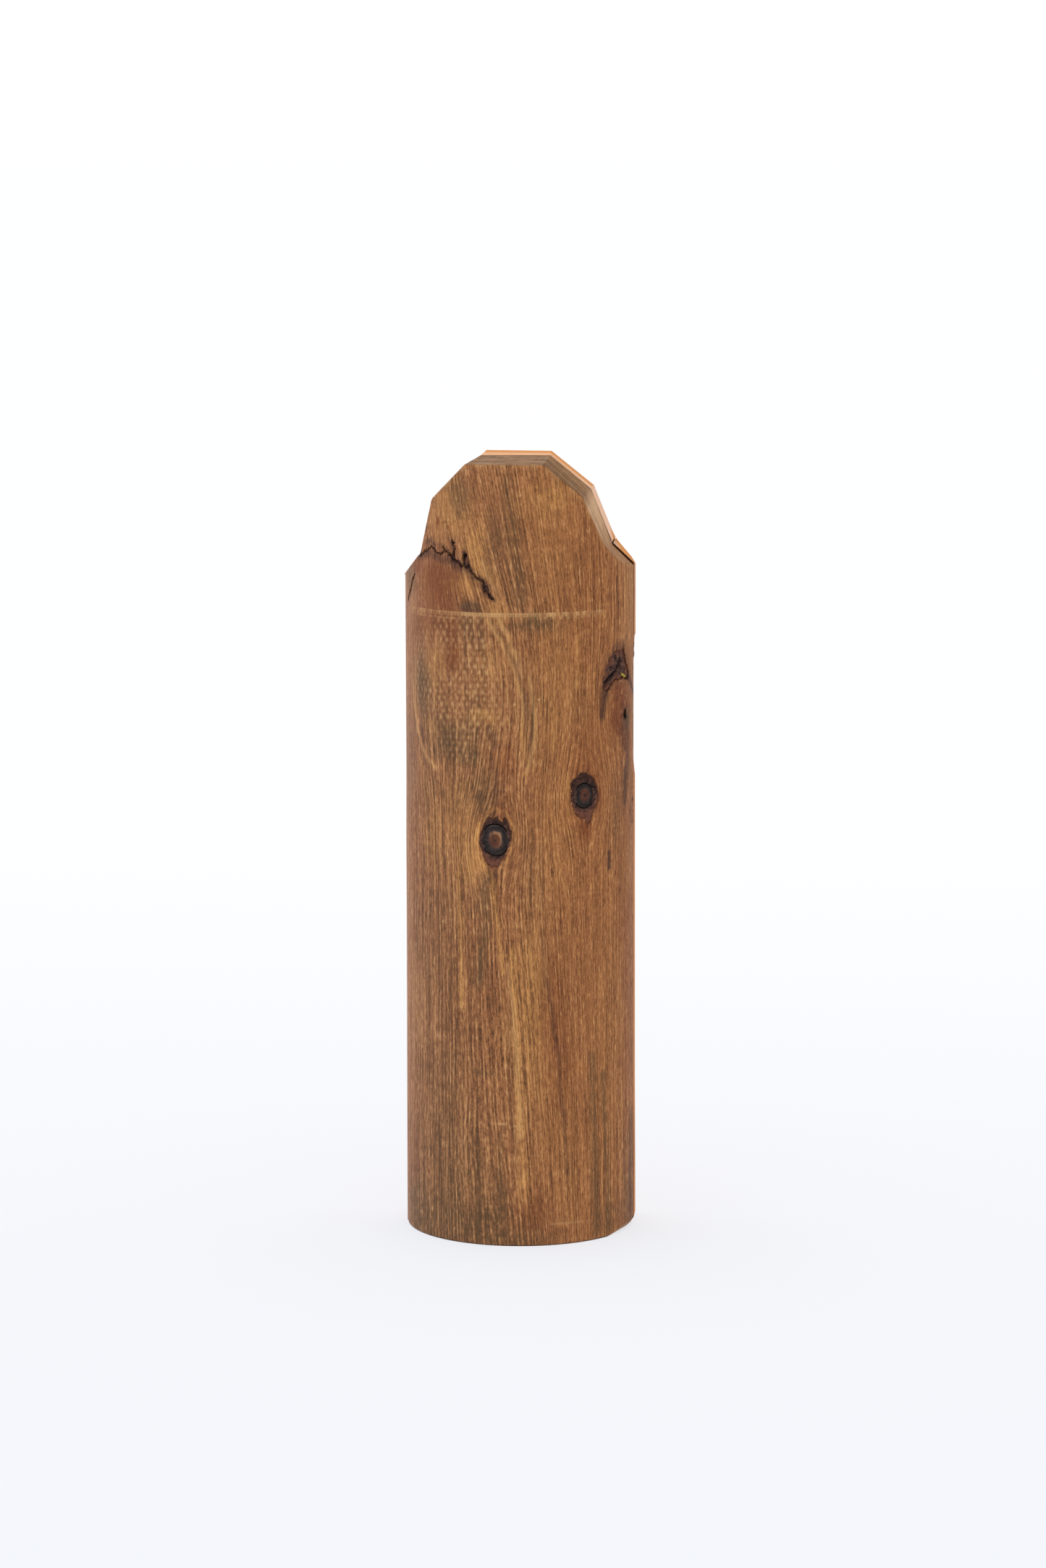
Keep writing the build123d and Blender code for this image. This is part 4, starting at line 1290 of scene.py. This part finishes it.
def pale_wood():
    """Pale orange-pink backing wood with growth lines; deeper orange towards the far face."""
    look = Look("pale_wood_look")
    cut = look.attribute("cut")
    depth = look.attribute("depth")
    hollow = look.attribute("hollow")
    px, py, pz = look.split(look.place())
    mm_x = px * 1000.0
    mm_y = py * 1000.0
    mm_z = pz * 1000.0
    bow = look.noise(look.join(mm_x * 0.03, 0.0, mm_z * 0.012), 2.0)
    rings = look.noise(look.join((mm_x + bow * 16.0) * 0.42, mm_y * 0.25, mm_z * 0.006), 3.0, 0.55)
    fibre = look.noise(look.join(mm_x * 2.2, mm_y * 2.2, mm_z * 0.10), 2.0, 0.6)
    tone = rings * 0.6 + fibre * 0.4
    side = look.ramp(tone, [(0.30, PALE_DARK), (0.48, PALE_SIDE), (0.70, PALE_ORANGE)])
    # The cut top: pink near the joint on the right, orange far from it
    lines = look.noise(look.join(mm_x * 0.35, mm_y * 1.6, mm_z * 0.35), 3.0, 0.6)
    speck = look.noise(look.join(mm_x * 2.4, mm_y * 2.4, mm_z * 2.4), 2.0, 0.6)
    across = depth + (lines - 0.5) * 0.30
    right = look.fit(px, 0.015, 0.024) * look.fit(pz, 0.2110, 0.2150)
    right_steep = look.fit(px, 0.0218, 0.0226) * look.fit(pz, 0.2150, 0.2180)
    inner = look.mix(right, PALE_PEACH, PALE_PINK)
    inner = look.mix(look.fit(px, 0.0300, 0.0315), inner, PALE_ORANGE)
    outer = look.mix(right_steep, PALE_ORANGE, PALE_PINK)
    end = look.mix(look.fit(across, 0.34, 0.64), inner, outer)
    end = look.mix(look.fit(across, 0.10, 0.0, 0.0, 0.6), end, PALE_DARK)
    end = look.mix(look.fit(speck, 0.45, 0.75, 0.0, 0.35), end, PALE_ORANGE)
    colour = look.mix(cut, side, end)
    # Dark hollow edge and glued face, with painted shade inside the kerf
    colour = look.mix(look.product(hollow, look.fit(lines, 0.3, 0.7, 0.95, 0.6)), colour, HOLLOW_BROWN_AND_KERF_SHADE)
    normal = look.bump(tone, 0.0002, 0.45)
    rough = look.fit(tone, 0.3, 0.7, 0.66, 0.52)
    return look.finish(colour, rough, normal, look.blend(cut, 0.16, 0.03))


KNOT_BLACK = (0.015, 0.011, 0.011)
KNOT_GREY = (0.046, 0.032, 0.029)
KNOT_BROWN = (0.150, 0.055, 0.021)
KNOT_TAN = (0.330, 0.165, 0.085)
KNOT_RED = (0.105, 0.038, 0.022)
KNOT_RIM = [(0.62, KNOT_GREY), (0.85, KNOT_BLACK), (1.0, KNOT_GREY)]


def knot_wood():
    """Dead knot wood: brown pith, a tan crescent on one side, then blue-black rings with radial checks."""
    look = Look("knot_wood_look")
    place = look.place()
    gritty = look.noise(place, 3.0, 0.6, 0.0, 900.0)
    soft = look.noise(place, 2.0, 0.5, 0.0, 380.0)
    wavy = look.attribute("share") + (soft - 0.5) * 0.40
    plain = look.ramp(wavy, [(0.02, KNOT_BLACK), (0.16, KNOT_RED), (0.50, KNOT_RED)] + KNOT_RIM)
    bright = look.ramp(wavy, [(0.34, KNOT_BROWN), (0.44, KNOT_TAN), (0.53, KNOT_TAN)] + KNOT_RIM)
    colour = look.mix(look.attribute("tan"), plain, bright)
    rings = look.math("SINE", wavy * 38.0)
    colour = look.mix(look.fit(rings, 0.2, 1.0, 0.0, 0.25), colour, KNOT_GREY)
    colour = look.mix(look.fit(gritty, 0.48, 0.70, 0.0, 0.65), colour, KNOT_BLACK)
    normal = look.bump(rings * 0.3 + gritty, 0.0002, 0.5)
    return look.finish(colour, look.fit(gritty, 0.3, 0.7, 0.5, 0.8), normal, 0.12)


BARK_BLACK = (0.010, 0.007, 0.008)
BARK_PURPLE = (0.075, 0.039, 0.033)
BARK_BROWN = (0.180, 0.088, 0.052)
BARK_TAIL = (0.185, 0.068, 0.040)
RESIN_DARK = (0.250, 0.180, 0.020)
RESIN_LIGHT = (0.620, 0.520, 0.090)


def bark():
    """Crumbly ingrown bark: black, purple and dull brown, redder where it thins out."""
    look = Look("bark_look")
    place = look.place()
    coarse = look.noise(place, 4.0, 0.65, 0.3, 650.0)
    fine = look.noise(place, 3.0, 0.6, 0.0, 1800.0)
    mixed = look.add_up([(coarse, 1.1), (fine, 0.7)])
    colour = look.ramp(mixed, [(0.30, BARK_BLACK), (0.50, BARK_PURPLE), (0.74, BARK_BROWN)])
    tail = look.attribute("tail") * look.fit(mixed, 0.3, 0.7, 0.4, 0.95)
    colour = look.mix(tail, colour, BARK_TAIL)
    colour = look.mix(look.attribute("tip"), colour, BARK_BLACK)
    resin = look.mix(look.fit(fine, 0.35, 0.65), RESIN_DARK, RESIN_LIGHT)
    colour = look.mix(look.attribute("resin"), colour, resin)
    normal = look.bump(mixed, 0.0004, 0.7)
    return look.finish(colour, look.fit(fine, 0.3, 0.7, 0.7, 0.95), normal, 0.08)


GLUE_DARK = (0.020, 0.010, 0.006)
GLUE_LIGHT = (0.070, 0.035, 0.018)


def glue():
    """Dark dried glue with a slight sheen."""
    look = Look("glue_look")
    noise = look.noise(look.place(), 3.0, 0.6, 0.0, 700.0)
    colour = look.ramp(noise, [(0.35, GLUE_DARK), (0.65, GLUE_LIGHT)])
    normal = look.bump(noise, 0.0002, 0.4)
    return look.finish(colour, look.fit(noise, 0.3, 0.7, 0.35, 0.6), normal, 0.4)


# ---------------------------------------------------------------- stage, light and camera
FLOOR_RADIUS = 40.0
FLOOR_DROP = 0.0001
FLOOR_GLOW = 0.70
FLOOR_STOPS = [
    # distance behind the figure in metres, colour
    (-0.45, (0.890, 0.914, 0.957)), (0.0, (0.921, 0.933, 0.975)),
    (0.35, (0.950, 0.958, 0.986)), (0.75, (0.985, 0.992, 1.0)),
]
# Past this distance the floor takes its far colour on every side
FLOOR_NEAR = 1.2
# How far inside and outside the foot's edge the floor's own light starts and is full
GLOW_START = -0.4 * MM
GLOW_FULL = 0.1 * MM


def distance_outside(look, side, back, reach):
    """Distance of a floor point outside the foot of the figure."""
    turn = math.radians(FOOT_FLAT_ANGLE)
    beyond = side * math.sin(turn) - back * math.cos(turn)
    return look.largest(
        reach - RADIUS * MM,
        beyond - (RADIUS - FOOT_FLAT_INSET) * MM,
        back - BACK * MM,
        side - (RADIUS - FOOT_WORN_INSET) * MM,
    )


def build_stage():
    """Large pale floor, partly lit from below like a light table so that shadows stay faint."""
    mesh = bpy.data.meshes.new("floor")
    build = bmesh.new()
    bmesh.ops.create_circle(build, cap_ends=True, segments=96, radius=FLOOR_RADIUS)
    build.to_mesh(mesh)
    build.free()
    floor = bpy.data.objects.new("floor", mesh)
    floor.location.z = CAD_LOW.z - FLOOR_DROP
    bpy.context.scene.collection.objects.link(floor)
    look = Look("floor_look")
    side, back, _ = look.split(look.place())
    reach = look.math("SQRT", side * side + back * back)
    glow = look.fit(distance_outside(look, side, back, reach), GLOW_START, GLOW_FULL, 0.0, FLOOR_GLOW)
    near, far = FLOOR_STOPS[0][0], FLOOR_STOPS[-1][0]
    stops = [((place - near) / (far - near), colour) for place, colour in FLOOR_STOPS]
    colour = look.ramp(look.fit(look.largest(back, reach - FLOOR_NEAR), near, far), stops)
    look.fill(look.surface, {"Emission Color": colour, "Emission Strength": glow})
    dimmed = look.mix(FLOOR_GLOW, colour, (0.0, 0.0, 0.0))
    mesh.materials.append(look.finish(dimmed, 0.9, None, 0.0))


# Strength of the surround from the left to the right: for soft light and for reflections
LIGHT_SIDES = (1.20, 0.88)
SHEEN_SIDES = (2.6, 0.05)
LIGHT_COOL = (0.96, 1.0, 1.10)
LIGHT_WARM = (1.04, 1.0, 0.88)


def light_world():
    """Even white surround; the light it gives is a little stronger from the left than from the right."""
    world = bpy.data.worlds.new("studio")
    bpy.context.scene.world = world
    shader = Shader(world)
    side = shader.split(shader.place("Generated"))[0]
    glossy = shader.node("ShaderNodeLightPath", output="Is Glossy Ray")
    seen = shader.node("ShaderNodeLightPath", output="Is Camera Ray")
    soft = shader.fit(side, -1.0, 1.0, *LIGHT_SIDES)
    sheen = shader.fit(side, -0.6, 0.6, *SHEEN_SIDES)
    strength = shader.blend(seen, shader.blend(glossy, soft, sheen), 1.0)
    colour = shader.mix(shader.fit(side, -1.0, 1.0), LIGHT_COOL, LIGHT_WARM)
    colour = shader.mix(seen, colour, (1.0, 1.0, 1.0))
    shader.fill(shader.tree.nodes["Background"], {"Strength": strength, "Color": colour})


# Angles in degrees, distances in metres, lens and sensor in millimetres
CAMERA_TURN = 5.078
CAMERA_TILT = 7.061
CAMERA_ROLL = -0.15
CAMERA_SIDE = 0.000935
CAMERA_DISTANCE = 1.407875
CAMERA_HEIGHT = 0.34202
CAMERA_LENS = 105.0
CAMERA_SENSOR = 36.0
CAMERA_SHIFT = -0.06
CAMERA_REACH = 200.0


def place_camera():
    """Long lens, a little to the right of the figure and looking slightly down."""
    data = bpy.data.cameras.new("camera")
    data.lens = CAMERA_LENS
    data.sensor_width = CAMERA_SENSOR
    data.shift_y = CAMERA_SHIFT
    data.clip_end = CAMERA_REACH
    camera = bpy.data.objects.new("camera", data)
    turn = math.radians(CAMERA_TURN)
    camera.location = (
        CAMERA_SIDE * math.cos(turn) + CAMERA_DISTANCE * math.sin(turn),
        CAMERA_SIDE * math.sin(turn) - CAMERA_DISTANCE * math.cos(turn),
        CAMERA_HEIGHT,
    )
    camera.rotation_mode = "QUATERNION"
    turned = Quaternion((0, 0, 1), turn)
    tilted = Quaternion((1, 0, 0), math.radians(90.0 - CAMERA_TILT))
    rolled = Quaternion((0, 0, 1), math.radians(CAMERA_ROLL))
    camera.rotation_quaternion = turned @ tilted @ rolled
    bpy.context.scene.collection.objects.link(camera)
    bpy.context.scene.camera = camera


def dress(obj, material):
    """Gives every material slot of an object one material."""
    if not obj.material_slots:
        obj.data.materials.append(material)
    for slot in obj.material_slots:
        slot.material = material


build_front()
build_back()
for knot in KNOTS:
    build_heart(knot)
    build_sleeve(knot)
build_pocket()
build_seam()
build_edge_bark()

LOOKS = {
    "stained_wood": stained_wood(),
    "pale_wood": pale_wood(),
    "knot_wood": knot_wood(),
    "bark": bark(),
    "glue": glue(),
}
for obj, look_name in NEW_PIECES:
    dress(obj, LOOKS[look_name])
for entry in frame["record"]["subparts"]:
    dress(frame["nodes"][entry["node"]], LOOKS[entry["material_slot"]])

build_stage()
light_world()
place_camera()
bpy.context.scene.view_settings.view_transform = "Standard"
